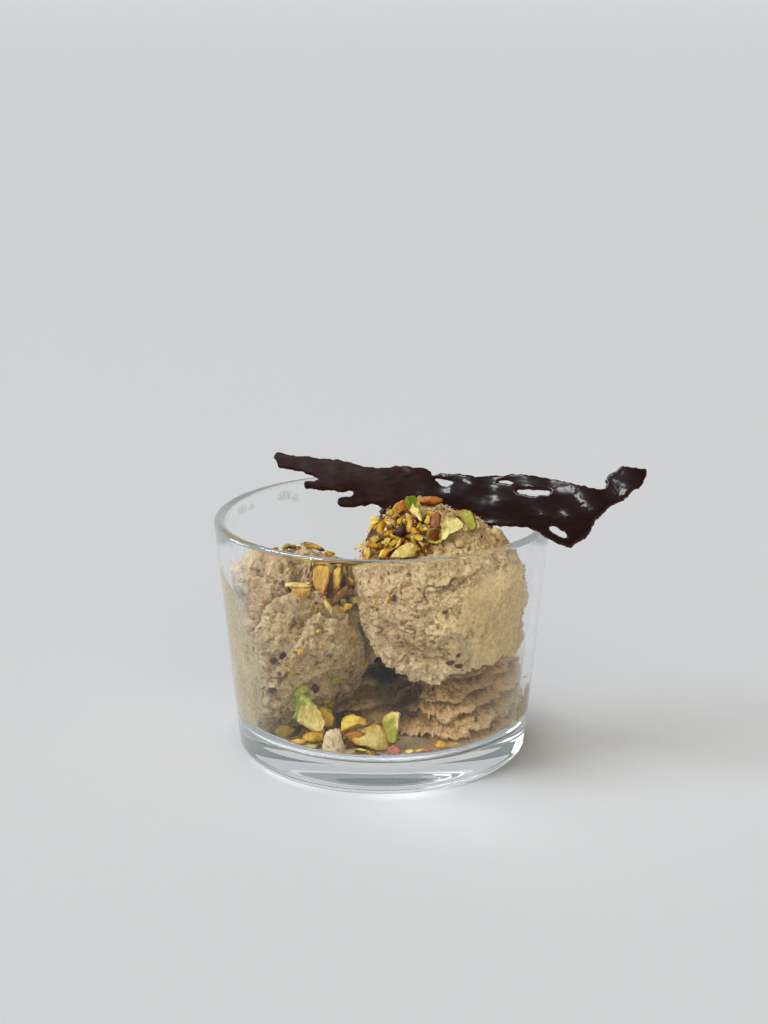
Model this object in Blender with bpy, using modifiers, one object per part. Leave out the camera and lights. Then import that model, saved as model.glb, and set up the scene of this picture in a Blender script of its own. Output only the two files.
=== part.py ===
"""Pistachio ice cream in a low glass bowl, with chopped nuts and a shard of chocolate.

Metres, +Z up. The origin is the middle of the glass's flat underside, and the front is -Y.
"""

import math
import random

import bmesh
import bpy
from mathutils import Matrix, Vector, noise
from mathutils.bvhtree import BVHTree

MM = 0.001
GAP = 0.3 * MM  # left between pieces that touch

# Glass bowl, a low tapered tumbler of about 22 cl
GLASS_HEIGHT = 60.5 * MM
RIM_RADIUS = 41.25 * MM
FOOT_RADIUS = 35.57 * MM  # where the tapered side would meet the table
WALL = 2.5 * MM
BASE = 8.0 * MM  # solid glass under the hollow
HEEL_FILLET = 4.5 * MM
INNER_FILLET = 5.0 * MM
GLASS_STEPS = 64
ARC_STEPS = 5
TAPER = (RIM_RADIUS - FOOT_RADIUS) / GLASS_HEIGHT

# Ice cream: two round scoops and the torn mass that the right one sits on
RIGHT_CENTRE = Vector((14.9, -12.0, 45.9)) * MM
RIGHT_RADIUS = 21.5 * MM
LEFT_CENTRE = Vector((-21.5, -2.0, 31.0)) * MM
LEFT_RADIUS = 20.0 * MM
MASS_CENTRE = Vector((11.0, 3.5, 13.5)) * MM
MASS_RADII = Vector((27.0, 27.0, 18.0)) * MM
BALL_ROUGHNESS = 1.2 * MM
MASS_ROUGHNESS = 2.0 * MM
BALL_ROOM = 1.4 * MM  # kept free round a ball, for its own bumps
SOLID_ROOM = 2.0 * MM  # kept free before a solid of any other shape
BUMPS_PER_RADIUS = 5.5
RIGHT_CUTS = 12  # how often each side of a lump's starting cube is cut
LEFT_CUTS = 10
MASS_CUTS = 9
FLATTENED = 3.4 * MM  # taken off the right scoop's upper right shoulder
SHOULDER_SPREAD = 4.5 * MM  # the same, of its upper left shoulder
FOOT_SPREAD = 11.0 * MM  # how far the left scoop's foot is squeezed out to the wall
RIDGE_DEPTH = 1.0 * MM  # of the torn layers in the mass under the right scoop
SKIRT = 3.0 * MM  # torn edge round the lower front of the right scoop
SKIRT_LOW = math.radians(-42)
SKIRT_WIDTH = math.radians(7)
SKIRT_MIDDLE = math.radians(-95)
SKIRT_HALF_SPAN = math.radians(65)
MASS_HOLLOW = 2.0 * MM  # dent in the mass below the right scoop's front

# Heap of nut pieces on the glass floor at the front
HEAP_CENTRE = Vector((-12.0, -24.5, 9.8)) * MM
HEAP_RADII = Vector((15.0, 6.0, 2.6)) * MM
CREAM_CENTRE = Vector((-11.0, -30.3, 12.2)) * MM  # dab of ice cream on the front wall
CREAM_RADII = Vector((2.8, 1.6, 3.9)) * MM
HEAP_CUTS = 6
CREAM_CUTS = 3
HEAP_ROUGHNESS = 0.3 * MM

# Chocolate shard: a wavy sheet lying over the right scoop's crown and the rim
SHARD_THICKNESS = 1.2 * MM
SHARD_ON_RIM = Vector((35.4, -17.7, 61.5)) * MM
SHARD_HEADING = math.radians(-25)  # its long way, from +X
SHARD_LEAN = math.radians(55)  # of its width, from level
SHARD_CELL = 2.5 * MM
SHARD_BLOCK = 9.0 * MM  # half the height of the block that gives the sheet its outline
SHARD_CROWN = 1.5  # height of the sheet's bulge across its width, in mm
SHARD_CROWN_MIDDLE = 6.5
SHARD_CROWN_WIDTH = 19.0
SHARD_SWELL = 0.8  # height and length of its long waves
SHARD_SWELL_LENGTH = 46.0
SHARD_RIPPLE = 0.35  # the same, of its short slanting waves
SHARD_RIPPLE_LENGTH = 15.0
SHARD_RIPPLE_WIDTH = 21.0
SHARD_DROP = 0.6  # brings the waves' middle back into the plane
SHARD_SPAN = (-75.0, 27.0)  # along the shard, then across it, in mm from where it meets the rim
SHARD_BREADTH = (-6.0, 22.0)
SHARD_OUTLINE = (
    (-71.8, 12.6), (-68.7, 11.6), (-60.9, 12.1), (-51.9, 11.8), (-47.1, 10.4), (-40.2, 11.0),
    (-37.7, 11.8), (-30.2, 12.1), (-28.8, 11.7), (-28.2, 10.6), (-25.3, 11.9), (-17.6, 11.7),
    (-12.4, 12.8), (-5.8, 13.5), (3.5, 13.0), (8.8, 12.3), (12.4, 11.7), (15.1, 11.9),
    (16.2, 12.9), (15.1, 14.4), (15.4, 15.8), (17.6, 17.6), (18.6, 18.9), (22.0, 19.2),
    (24.6, 18.8), (24.3, 13.6), (22.3, 12.3), (21.2, 10.2), (18.9, 8.4), (17.1, 5.9),
    (15.6, 3.2), (15.0, 0.5), (12.2, -1.5), (11.0, -3.2), (8.9, -3.2), (5.3, -2.1),
    (2.9, -1.0), (-0.9, 0.4), (-3.6, 0.2), (-10.7, -0.4), (-37.3, -0.7), (-40.2, 1.1),
    (-42.1, 1.1), (-44.1, 0.4), (-50.2, -0.4), (-51.2, 0.2), (-51.7, 2.1), (-47.3, 2.8),
    (-47.6, 3.9), (-60.3, 3.0), (-61.2, 3.3), (-61.7, 4.9), (-57.0, 6.0), (-61.8, 7.1),
    (-66.9, 8.2), (-69.8, 7.6), (-71.0, 9.7), (-72.7, 10.4),
)
SHARD_HOLES = (
    ((-28.1, 10.1), (-24.5, 7.7), (-21.6, 9.6)),
    ((-11.5, 11.2), (-8.8, 10.6), (-6.2, 10.8), (-8.9, 11.6)),
    ((-5.9, 9.2), (-4.3, 8.1), (-0.9, 7.8), (2.7, 8.7), (3.0, 9.7), (-0.8, 9.6)),
    ((4.4, 0.8), (6.2, 1.2), (8.8, 0.1), (9.5, -0.8), (8.2, -1.2), (5.9, -0.4)),
)

# Every nut piece
NUT_UNEVEN = 0.09  # how far its corners are shifted, as a share of its size
NUT_STANDS_OUT = 0.22  # height of its middle over the ice cream, as a share of its thickness
NUT_TIP = 22  # degrees that it may tip from lying flat
NUT_ROOM = 1.16  # its size when it is tested against its neighbours
NUT_ROLL = math.radians(65)  # of a piece on the floor, round its length
CRUMB_LENGTHS = (2.2, 4.6)  # in mm
CRUMB_WIDTHS = (0.5, 0.8)  # as a share of the length
CRUMB_THICKNESS = 0.8  # as a share of the width

# Nut pieces on the right scoop: bearing and height round its centre, and turn, in degrees;
# length, width and thickness in mm
CROWN_NUTS = (
    (-159, 68, 80, 6.2, 4.2, 2.6), (-150, 80, 10, 6.6, 3.0, 2.2), (-83, 55, 20, 9.6, 5.6, 3.0),
    (-62, 63, -50, 6.2, 4.6, 2.4), (-123, 38, 15, 8.2, 4.4, 2.6), (-137, 49, 0, 3.6, 3.4, 3.4),
    (-177, 42, 60, 6.5, 3.0, 2.2), (-165, 52, 30, 6.0, 3.6, 2.4), (170, 33, 80, 5.0, 2.6, 2.2),
    (-150, 38, 100, 5.4, 2.4, 2.2), (-165, 24, 70, 5.6, 3.4, 2.0), (-112, 52, 130, 5.0, 2.4, 2.2),
)
CROWN_CRUMBS = 22
CROWN_CRUMB_MIDDLE = (-145, 52)
CROWN_CRUMB_SPREAD = 30

# Nut pieces on the left scoop, given in the same way
LEFT_NUTS = (
    (-80, 46, 10, 8.4, 4.8, 2.8), (-45, 47, 80, 7.0, 4.0, 2.4), (-34, 42, 95, 6.4, 3.0, 2.4),
    (-50, 57, 40, 5.4, 4.2, 2.4), (-44, 31, 30, 5.0, 3.0, 2.2), (-58, 36, 110, 3.8, 2.2, 2.0),
    (-10, 63, 0, 6.0, 4.0, 2.6), (40, 66, 40, 5.4, 3.8, 2.6), (100, 74, 20, 5.4, 3.0, 2.2),
    (-82, -27, 60, 4.6, 2.8, 2.0), (-57, -18, 15, 4.0, 2.4, 1.8),
)
LEFT_CRUMBS = 8
LEFT_CRUMB_MIDDLE = (-30, 56)
LEFT_CRUMB_SPREAD = 22

# Nut pieces on the glass floor: place of the middle, then length, width and thickness in mm,
# then how far the length points up, and the bearing of the flat side, in degrees
FLOOR_NUTS = (
    (-17.3, -25.0, 16.4, 9.4, 6.6, 2.8, 62, -100), (-12.4, -22.5, 14.6, 7.4, 4.6, 2.6, 70, -80),
    (-6.8, -25.6, 13.4, 6.2, 4.8, 4.2, 15, -70), (-3.0, -27.6, 12.0, 8.0, 6.0, 4.0, -20, -95),
    (-21.6, -22.2, 12.2, 6.8, 4.2, 3.2, 20, -110), (-17.4, -26.8, 10.8, 8.2, 3.8, 3.0, -8, -105),
)
# and the pieces that lie against the foot of the torn mass
FOOT_NUTS = (
    (2.4, -24.6, 13.4, 9.0, 4.0, 2.6, 80, -60), (4.0, -26.6, 10.6, 4.6, 3.8, 2.6, 10, -90),
    (8.0, -26.2, 10.4, 4.4, 3.4, 2.6, 10, -80), (11.6, -25.6, 10.2, 3.8, 3.2, 2.6, 0, -90),
    (15.4, -24.6, 10.2, 5.4, 3.2, 2.6, 5, -75), (19.6, -22.4, 10.4, 3.6, 2.8, 2.4, 0, -60),
)
FLOOR_CRUMBS = 16
FLOOR_CRUMB_BEARINGS = (-132, -62)
FLOOR_CRUMB_OUT = (20.5, 30.5)
FLOOR_CRUMB_HEIGHTS = (9.4, 11.4)
FLOOR_CRUMB_UP = (-25, 40)

CREAM_COLOUR = (0.47, 0.35, 0.19)
NUT_COLOUR = (0.42, 0.30, 0.06)
CHOCOLATE_COLOUR = (0.022, 0.007, 0.005)
GLASS_COLOUR = (0.86, 0.92, 0.91)


def clear_scene():
    for thing in list(bpy.data.objects):
        bpy.data.objects.remove(thing, do_unlink=True)


def new_collection(name):
    collection = bpy.data.collections.new(name)
    bpy.context.scene.collection.children.link(collection)
    return collection


def new_material(name, colour, roughness, metallic=0.0, transmission=0.0):
    material = bpy.data.materials.new(name)
    material.use_nodes = True
    shader = material.node_tree.nodes["Principled BSDF"]
    shader.inputs["Base Color"].default_value = (*colour, 1.0)
    shader.inputs["Roughness"].default_value = roughness
    shader.inputs["Metallic"].default_value = metallic
    shader.inputs["Transmission Weight"].default_value = transmission
    return material


def object_from(name, mesh, collection, material=None):
    thing = bpy.data.objects.new(name, mesh)
    collection.objects.link(thing)
    if material:
        mesh.materials.append(material)
    return thing


def object_from_bmesh(name, shape, collection, material=None, sharp_from=60):
    mesh = bpy.data.meshes.new(name)
    shape.to_mesh(mesh)
    shape.free()
    mesh.shade_smooth()
    mesh.set_sharp_from_angle(angle=math.radians(sharp_from))
    return object_from(name, mesh, collection, material)


def evaluated_mesh(thing):
    bpy.context.view_layer.update()
    graph = bpy.context.evaluated_depsgraph_get()
    return bpy.data.meshes.new_from_object(thing.evaluated_get(graph))


def surface_tree(thing):
    mesh = evaluated_mesh(thing)
    places = [thing.matrix_world @ vertex.co for vertex in mesh.vertices]
    tree = BVHTree.FromPolygons(places, [face.vertices[:] for face in mesh.polygons])
    bpy.data.meshes.remove(mesh)
    return tree


def make_cutter(thing):
    thing.hide_render = True
    thing.display_type = "WIRE"


# ---- glass ----


def arc(centre_x, centre_z, radius, start, end, steps):
    """Points of a round stretch of a profile, from one angle to another in degrees."""
    points = []
    for step in range(steps + 1):
        angle = math.radians(start + (end - start) * step / steps)
        points.append((centre_x + radius * math.cos(angle), centre_z + radius * math.sin(angle)))
    return points


def wall_radius(height):
    """Radius of the tapered inner wall."""
    return FOOT_RADIUS + TAPER * height - WALL


def hollow_radius(height):
    """Radius of the hollow, with the fillet between its wall and its floor."""
    rise = height - BASE
    if rise >= INNER_FILLET:
        return wall_radius(height)
    lower = max(rise, 0.0)
    drawn_in = INNER_FILLET - math.sqrt(INNER_FILLET**2 - (INNER_FILLET - lower) ** 2)
    return wall_radius(height) - drawn_in


def glass_profile():
    """Half section, from the middle of the hollow's floor over the rim to the underside's middle."""
    fillet_x = wall_radius(BASE + INNER_FILLET) - INNER_FILLET
    bead = WALL / 2
    heel_x = FOOT_RADIUS + TAPER * HEEL_FILLET - HEEL_FILLET
    points = [(0.0, BASE)]
    points += arc(fillet_x, BASE + INNER_FILLET, INNER_FILLET, -90, 0, ARC_STEPS)
    points += arc(RIM_RADIUS - bead, GLASS_HEIGHT - bead, bead, 180, 0, ARC_STEPS)
    points += arc(heel_x, HEEL_FILLET, HEEL_FILLET, 0, -90, ARC_STEPS)
    points.append((0.0, 0.0))
    return points


def turned(name, profile, steps, collection, material):
    mesh = bpy.data.meshes.new(name)
    edges = [(index, index + 1) for index in range(len(profile) - 1)]
    mesh.from_pydata([(x, 0.0, z) for x, z in profile], edges, [])
    thing = object_from(name, mesh, collection, material)
    screw = thing.modifiers.new("Turn", "SCREW")
    screw.axis = "Z"
    screw.steps = steps
    screw.render_steps = steps
    screw.use_merge_vertices = True
    screw.merge_threshold = 0.00001
    screw.use_smooth_shade = True
    return thing


# ---- ice cream ----


def in_hollow(point):
    if point.z < BASE + GAP:
        return False
    return math.hypot(point.x, point.y) < hollow_radius(point.z) - GAP


def clear_of_ball(point, ball):
    centre, radius = ball
    return (point - centre).length > radius + BALL_ROOM + GAP


def reach_to_neighbours(centre, direction, wanted, balls, trees):
    """How far a lump may reach one way before it meets the glass, a ball or another solid."""
    for tree in trees:
        hit = tree.ray_cast(centre, direction, wanted + SOLID_ROOM)
        if hit[0]:
            wanted = min(wanted, hit[3] - SOLID_ROOM)
    step = 0.5 * MM
    free = 0.0
    while free < wanted:
        point = centre + direction * (free + step)
        if not in_hollow(point) or not all(clear_of_ball(point, ball) for ball in balls):
            if step < 0.02 * MM:
                return free
            step /= 2
            continue
        free += step
    return wanted


def lobe(direction, towards, size, spread):
    """A rounded swelling of a lump towards one side, or a hollow if size is negative."""
    angle = direction.angle(Vector(towards))
    return size * math.exp(-((angle / spread) ** 2))


def skirt(direction):
    """Torn edge low on the right scoop's front, where the scoop's lip left it."""
    low = math.asin(max(-1.0, min(1.0, direction.z)))
    bearing = math.atan2(direction.y, direction.x)
    across = math.exp(-(((low - SKIRT_LOW) / SKIRT_WIDTH) ** 2))
    along = math.exp(-(((bearing - SKIRT_MIDDLE) / SKIRT_HALF_SPAN) ** 4))
    ragged = 0.7 + 0.6 * noise.noise(direction * 5.0)
    return SKIRT * across * along * ragged


def cube_ball(cuts):
    """A cube's faces cut into a grid, each corner then given as its direction from the centre."""
    shape = bmesh.new()
    bmesh.ops.create_cube(shape, size=2.0)
    bmesh.ops.subdivide_edges(shape, edges=shape.edges[:], cuts=cuts, use_grid_fill=True)
    for vertex in shape.verts:
        even = [math.tan(value * math.pi / 4) for value in vertex.co]
        vertex.co = Vector(even).normalized()
    return shape


def lump(name, centre, radii, cuts, roughness, balls, collection, material, extra=None, seed=0,
         trees=()):
    """A rough ball or oval of ice cream, flattened wherever it meets the glass or a neighbour."""
    shape = cube_ball(cuts)
    offset = Vector((seed * 7.3, seed * 3.1, seed * 5.7))
    for vertex in shape.verts:
        direction = vertex.co.copy()
        scaled = Vector([direction[i] / radii[i] for i in range(3)])
        wanted = 1.0 / scaled.length
        bumps = noise.fractal(direction * BUMPS_PER_RADIUS + offset, 0.5, 2.2, 3)
        wanted += roughness * max(-1.0, min(1.0, bumps))
        if extra:
            wanted += extra(direction)
        free = reach_to_neighbours(centre, direction, wanted, balls, trees)
        vertex.co = centre + direction * free
    return object_from_bmesh(name, shape, collection, material)


def right_extra(direction):
    shoulder = lobe(direction, (0.75, 0.1, 0.65), -FLATTENED, 0.55)
    return shoulder + skirt(direction)


def left_extra(direction):
    foot = lobe(direction, (-0.7, -0.25, -0.65), FOOT_SPREAD, 0.75)
    return foot + lobe(direction, (-0.75, -0.3, 0.6), SHOULDER_SPREAD, 0.5)


def mass_extra(direction):
    ridges = RIDGE_DEPTH * math.sin(14.0 * direction.z - 5.0 * direction.x)
    return ridges + lobe(direction, (0.15, -0.95, -0.2), -MASS_HOLLOW, 0.5)


# ---- nuts ----


def nut_piece(name, middle, size, turn, collection, seed):
    """One chopped piece: a coarse ball with its corners shifted at random, then stretched."""
    draw = random.Random(seed)
    shape = bmesh.new()
    bmesh.ops.create_icosphere(shape, subdivisions=1, radius=0.5)
    for vertex in shape.verts:
        shift = Vector([draw.uniform(-NUT_UNEVEN, NUT_UNEVEN) for _ in range(3)])
        vertex.co = vertex.co + shift
    stretch = Matrix.Diagonal((*[side * MM for side in size], 1.0))
    shape.transform(Matrix.Translation(middle) @ turn.to_4x4() @ stretch)
    return object_from_bmesh(name, shape, collection, sharp_from=30)


def crosses(piece, middle, trees):
    """Whether a piece, with a little room round it, would cut through any of the others."""
    places = [middle + (vertex.co - middle) * NUT_ROOM for vertex in piece.data.vertices]
    own = BVHTree.FromPolygons(places, [face.vertices[:] for face in piece.data.polygons])
    return any(own.overlap(tree) for tree in trees)


def discard(thing):
    mesh = thing.data
    bpy.data.objects.remove(thing, do_unlink=True)
    bpy.data.meshes.remove(mesh)


def ball_surface(thing, centre, bearing, height):
    """Where a line at this bearing and height from a scoop's centre comes out of its surface."""
    side = math.cos(height)
    direction = Vector((side * math.cos(bearing), side * math.sin(bearing), math.sin(height)))
    hit = surface_tree(thing).ray_cast(centre + direction * 0.1, -direction)
    return hit[0], direction


def lay_nuts(scoop, centre, pieces, trees, collection):
    """Presses listed nut pieces into a scoop's surface, and skips one that would cut a neighbour."""
    for number, (bearing, height, turn, length, width, thickness) in enumerate(pieces):
        place, outward = ball_surface(scoop, centre, math.radians(bearing), math.radians(height))
        middle = place + outward * thickness * NUT_STANDS_OUT * MM
        draw = random.Random(number * 31 + len(pieces))
        tip = Matrix.Rotation(math.radians(draw.uniform(-NUT_TIP, NUT_TIP)), 3, "X")
        spin = Matrix.Rotation(math.radians(turn), 3, "Z")
        facing = outward.to_track_quat("Z", "Y").to_matrix() @ spin @ tip
        size = (length, width, thickness)
        piece = nut_piece(f"piece_{number}", middle, size, facing, collection, number)
        if crosses(piece, middle, trees):
            discard(piece)


def scattered(count, middle, spread, seed):
    """Small pieces at random round one bearing and height, thinning out with distance."""
    draw = random.Random(seed)
    pieces = []
    for _ in range(count):
        height = min(84.0, middle[1] + draw.gauss(0, spread * 0.5))
        narrowing = max(0.3, math.cos(math.radians(height)))
        bearing = middle[0] + draw.gauss(0, spread) / narrowing
        length = draw.uniform(*CRUMB_LENGTHS)
        width = length * draw.uniform(*CRUMB_WIDTHS)
        turn = draw.uniform(0, 180)
        pieces.append((bearing, height, turn, length, width, width * CRUMB_THICKNESS))
    return pieces


def fuse(core, collection):
    """Joins every piece in the collection to the core, and then removes the pieces."""
    join = core.modifiers.new("Join", "BOOLEAN")
    join.operation = "UNION"
    join.solver = "MANIFOLD"
    join.operand_type = "COLLECTION"
    join.collection = collection
    joined = evaluated_mesh(core)
    core.modifiers.remove(join)
    plain = core.data
    core.data = joined
    bpy.data.meshes.remove(plain)
    for piece in list(collection.objects):
        discard(piece)
    bpy.data.collections.remove(collection)
    drop_scraps(core.data)


def drop_scraps(mesh):
    """Keeps only the largest connected body of a mesh."""
    shape = bmesh.new()
    shape.from_mesh(mesh)
    left = set(shape.verts)
    bodies = []
    while left:
        body = set()
        front = [left.pop()]
        while front:
            vertex = front.pop()
            body.add(vertex)
            near = {edge.other_vert(vertex) for edge in vertex.link_edges} & left
            left -= near
            front.extend(near)
        bodies.append(body)
    largest = max(bodies, key=len)
    loose = [vertex for vertex in shape.verts if vertex not in largest]
    bmesh.ops.delete(shape, geom=loose, context="VERTS")
    shape.to_mesh(mesh)
    shape.free()
    mesh.shade_smooth()
    mesh.set_sharp_from_angle(angle=math.radians(45))


# ---- nuts on the floor ----


def floor_crumbs():
    """Small pieces spread over the front of the floor."""
    pieces = []
    draw = random.Random(5)
    for _ in range(FLOOR_CRUMBS):
        bearing = math.radians(draw.uniform(*FLOOR_CRUMB_BEARINGS))
        out = draw.uniform(*FLOOR_CRUMB_OUT)
        length = draw.uniform(*CRUMB_LENGTHS)
        width = length * draw.uniform(*CRUMB_WIDTHS)
        height = draw.uniform(*FLOOR_CRUMB_HEIGHTS)
        place = (out * math.cos(bearing), out * math.sin(bearing), height)
        up = draw.uniform(*FLOOR_CRUMB_UP)
        facing = draw.uniform(0, 360)
        pieces.append((*place, length, width, width * CRUMB_THICKNESS, up, facing))
    return pieces


def lay_floor_nuts(pieces, trees, collection):
    """Puts pieces where they are listed, and skips one that would cut a neighbour."""
    for number, (x, y, z, length, width, thickness, up, bearing) in enumerate(pieces):
        middle = Vector((x, y, z)) * MM
        face = Matrix.Rotation(math.radians(bearing + 90), 3, "Z")
        stand = Matrix.Rotation(math.radians(-up), 3, "Y")
        roll = Matrix.Rotation(NUT_ROLL, 3, "X")
        turn = face @ stand @ roll
        size = (length, width, thickness)
        piece = nut_piece(f"floor_{number}", middle, size, turn, collection, 100 + number)
        if crosses(piece, middle, trees):
            discard(piece)


# ---- chocolate ----


def shard_frame():
    """Along the shard, across it, and out of its face, with the origin where it meets the rim."""
    along = Vector((math.cos(SHARD_HEADING), math.sin(SHARD_HEADING), 0.0))
    level = Vector((-along.y, along.x, 0.0))
    across = level * math.cos(SHARD_LEAN) + Vector((0, 0, 1)) * math.sin(SHARD_LEAN)
    frame = Matrix((along, across, along.cross(across))).transposed().to_4x4()
    return Matrix.Translation(SHARD_ON_RIM) @ frame


def shard_wave(s, w):
    """How far the sheet stands out of its plane, all in mm: a crown across it and waves along it."""
    crown = SHARD_CROWN * math.cos(math.pi * (w - SHARD_CROWN_MIDDLE) / SHARD_CROWN_WIDTH)
    growing = 0.4 + 0.05 * w
    swell = SHARD_SWELL * math.sin(2 * math.pi * s / SHARD_SWELL_LENGTH + 0.8) * growing
    slant = s / SHARD_RIPPLE_LENGTH + w / SHARD_RIPPLE_WIDTH
    ripple = SHARD_RIPPLE * math.sin(2 * math.pi * slant)
    return crown + swell + ripple - SHARD_DROP


def outline_solid(name, loops, collection, frame):
    """A closed block of the outline's shape, with its holes, standing through the sheet."""
    curve = bpy.data.curves.new(name, "CURVE")
    curve.dimensions = "2D"
    curve.fill_mode = "BOTH"
    curve.extrude = SHARD_BLOCK
    for loop in loops:
        spline = curve.splines.new("POLY")
        spline.points.add(len(loop) - 1)
        for point, (s, w) in zip(spline.points, loop):
            point.co = (s * MM, w * MM, 0.0, 1.0)
        spline.use_cyclic_u = True
    guide = object_from(name + "_curve", curve, collection)
    mesh = evaluated_mesh(guide)
    bpy.data.objects.remove(guide, do_unlink=True)
    shape = bmesh.new()
    shape.from_mesh(mesh)
    bmesh.ops.remove_doubles(shape, verts=shape.verts[:], dist=0.00001)
    bmesh.ops.recalc_face_normals(shape, faces=shape.faces[:])
    shape.to_mesh(mesh)
    shape.free()
    block = object_from(name, mesh, collection)
    block.matrix_world = frame
    return block


def make_shard(collection, cutters, scoop, material):
    frame = shard_frame()
    long = SHARD_SPAN[1] - SHARD_SPAN[0]
    broad = SHARD_BREADTH[1] - SHARD_BREADTH[0]
    shape = bmesh.new()
    bmesh.ops.create_grid(
        shape,
        x_segments=round(long * MM / SHARD_CELL),
        y_segments=round(broad * MM / SHARD_CELL),
        size=0.5,
    )
    for vertex in shape.verts:
        s = SHARD_SPAN[0] + (vertex.co.x + 0.5) * long
        w = SHARD_BREADTH[0] + (vertex.co.y + 0.5) * broad
        vertex.co = Vector((s, w, shard_wave(s, w))) * MM
    shard = object_from_bmesh("chocolate_shard", shape, collection, material, sharp_from=40)
    shard.matrix_world = frame
    thick = shard.modifiers.new("Thickness", "SOLIDIFY")
    thick.thickness = SHARD_THICKNESS
    thick.offset = 0.0
    block = outline_solid("shard_outline", (SHARD_OUTLINE, *SHARD_HOLES), cutters, frame)
    make_cutter(block)
    trim = shard.modifiers.new("Outline", "BOOLEAN")
    trim.operation = "INTERSECT"
    trim.object = block
    seat = object_from("shard_seat", scoop.data.copy(), cutters)
    for vertex in seat.data.vertices:
        outward = vertex.co - RIGHT_CENTRE
        vertex.co = RIGHT_CENTRE + outward * (1.0 + 1.3 * GAP / outward.length)
    make_cutter(seat)
    rest = shard.modifiers.new("Seat", "BOOLEAN")
    rest.operation = "DIFFERENCE"
    rest.object = seat
    return shard


def main():
    clear_scene()
    dessert = new_collection("ice_cream_bowl")
    cutters = new_collection("cutters")
    clear_glass = new_material("glass", GLASS_COLOUR, 0.03, transmission=1.0)
    cream = new_material("ice_cream", CREAM_COLOUR, 0.75)
    nuts = new_material("pistachio", NUT_COLOUR, 0.55)
    chocolate = new_material("chocolate", CHOCOLATE_COLOUR, 0.3)

    glass = turned("glass_bowl", glass_profile(), GLASS_STEPS, dessert, clear_glass)
    right_ball = (RIGHT_CENTRE, RIGHT_RADIUS)
    left_ball = (LEFT_CENTRE, LEFT_RADIUS)
    right = lump("scoop_right", RIGHT_CENTRE, Vector([RIGHT_RADIUS] * 3), RIGHT_CUTS,
                 BALL_ROUGHNESS, [], dessert, cream, right_extra, seed=1)
    left = lump("scoop_left", LEFT_CENTRE, Vector([LEFT_RADIUS] * 3), LEFT_CUTS,
                BALL_ROUGHNESS, [right_ball], dessert, cream, left_extra, seed=2)
    mass = lump("ice_cream_base", MASS_CENTRE, MASS_RADII, MASS_CUTS, MASS_ROUGHNESS,
                [right_ball], dessert, cream, mass_extra, seed=3, trees=[surface_tree(left)])
    shard = make_shard(dessert, cutters, right, chocolate)
    trees = {thing.name: surface_tree(thing) for thing in (glass, right, left, mass, shard)}

    def others(*names):
        return [tree for name, tree in trees.items() if name not in names]

    loose = new_collection("crown_pieces")
    crumbs = scattered(CROWN_CRUMBS, CROWN_CRUMB_MIDDLE, CROWN_CRUMB_SPREAD, seed=11)
    lay_nuts(right, RIGHT_CENTRE, [*CROWN_NUTS, *crumbs], others("scoop_right"), loose)
    fuse(right, loose)
    trees["scoop_right"] = surface_tree(right)

    loose = new_collection("left_pieces")
    crumbs = scattered(LEFT_CRUMBS, LEFT_CRUMB_MIDDLE, LEFT_CRUMB_SPREAD, seed=12)
    lay_nuts(left, LEFT_CENTRE, [*LEFT_NUTS, *crumbs], others("scoop_left"), loose)
    fuse(left, loose)
    trees["scoop_left"] = surface_tree(left)

    loose = new_collection("foot_pieces")
    lay_floor_nuts(FOOT_NUTS, others("ice_cream_base"), loose)
    fuse(mass, loose)
    trees["ice_cream_base"] = surface_tree(mass)

    heap = lump("pistachio_heap", HEAP_CENTRE, HEAP_RADII, HEAP_CUTS, HEAP_ROUGHNESS,
                [right_ball, left_ball], dessert, nuts, seed=4, trees=others())
    loose = new_collection("floor_pieces")
    lay_floor_nuts([*FLOOR_NUTS, *floor_crumbs()], others(), loose)
    lump("cream_dab", CREAM_CENTRE, CREAM_RADII, CREAM_CUTS, HEAP_ROUGHNESS, [], loose, cream,
         seed=6)
    fuse(heap, loose)


main()
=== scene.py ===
import math

import bpy
import numpy as np
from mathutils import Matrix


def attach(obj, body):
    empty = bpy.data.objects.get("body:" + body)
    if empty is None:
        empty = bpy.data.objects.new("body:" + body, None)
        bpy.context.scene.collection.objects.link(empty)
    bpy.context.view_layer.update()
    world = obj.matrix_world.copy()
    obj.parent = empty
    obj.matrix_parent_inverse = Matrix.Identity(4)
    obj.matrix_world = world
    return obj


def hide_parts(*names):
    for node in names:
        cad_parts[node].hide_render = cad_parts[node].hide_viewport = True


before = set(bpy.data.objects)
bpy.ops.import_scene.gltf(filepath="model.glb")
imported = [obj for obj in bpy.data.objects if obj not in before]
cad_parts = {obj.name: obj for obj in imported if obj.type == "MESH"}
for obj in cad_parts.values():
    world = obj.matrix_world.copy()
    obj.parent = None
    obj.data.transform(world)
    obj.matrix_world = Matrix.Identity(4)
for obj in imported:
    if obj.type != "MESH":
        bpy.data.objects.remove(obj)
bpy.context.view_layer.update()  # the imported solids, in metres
mm = 0.001
scene = bpy.context.scene
print("frame loaded:", ", ".join(sorted(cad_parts)))


# Random slopes and a shuffled order for the noise below, the same on every run
noiseDraw = np.random.default_rng(20)
shuffled = np.tile(noiseDraw.permutation(256), 3)
cornerSlopes = noiseDraw.normal(size=(256, 3))
cornerSlopes /= np.linalg.norm(cornerSlopes, axis=1)[:, None]
cellPlaces = noiseDraw.uniform(0.08, 0.92, size=(256, 3))
cellValues = noiseDraw.uniform(0, 1, size=256)
waveShift = np.array([17.3, 5.9, 11.1])  # how far each seed moves the noise, in cells
cellShift = np.array([3.7, 9.1, 1.3])
waveGain = 1.55  # brings the soft bumps to about -1 and 1


def cornerNumbers(x, y, z):
    # a whole-number cell corner stirred into a number from 0 to 255
    return shuffled[shuffled[shuffled[x & 255] + (y & 255)] + (z & 255)]


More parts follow.
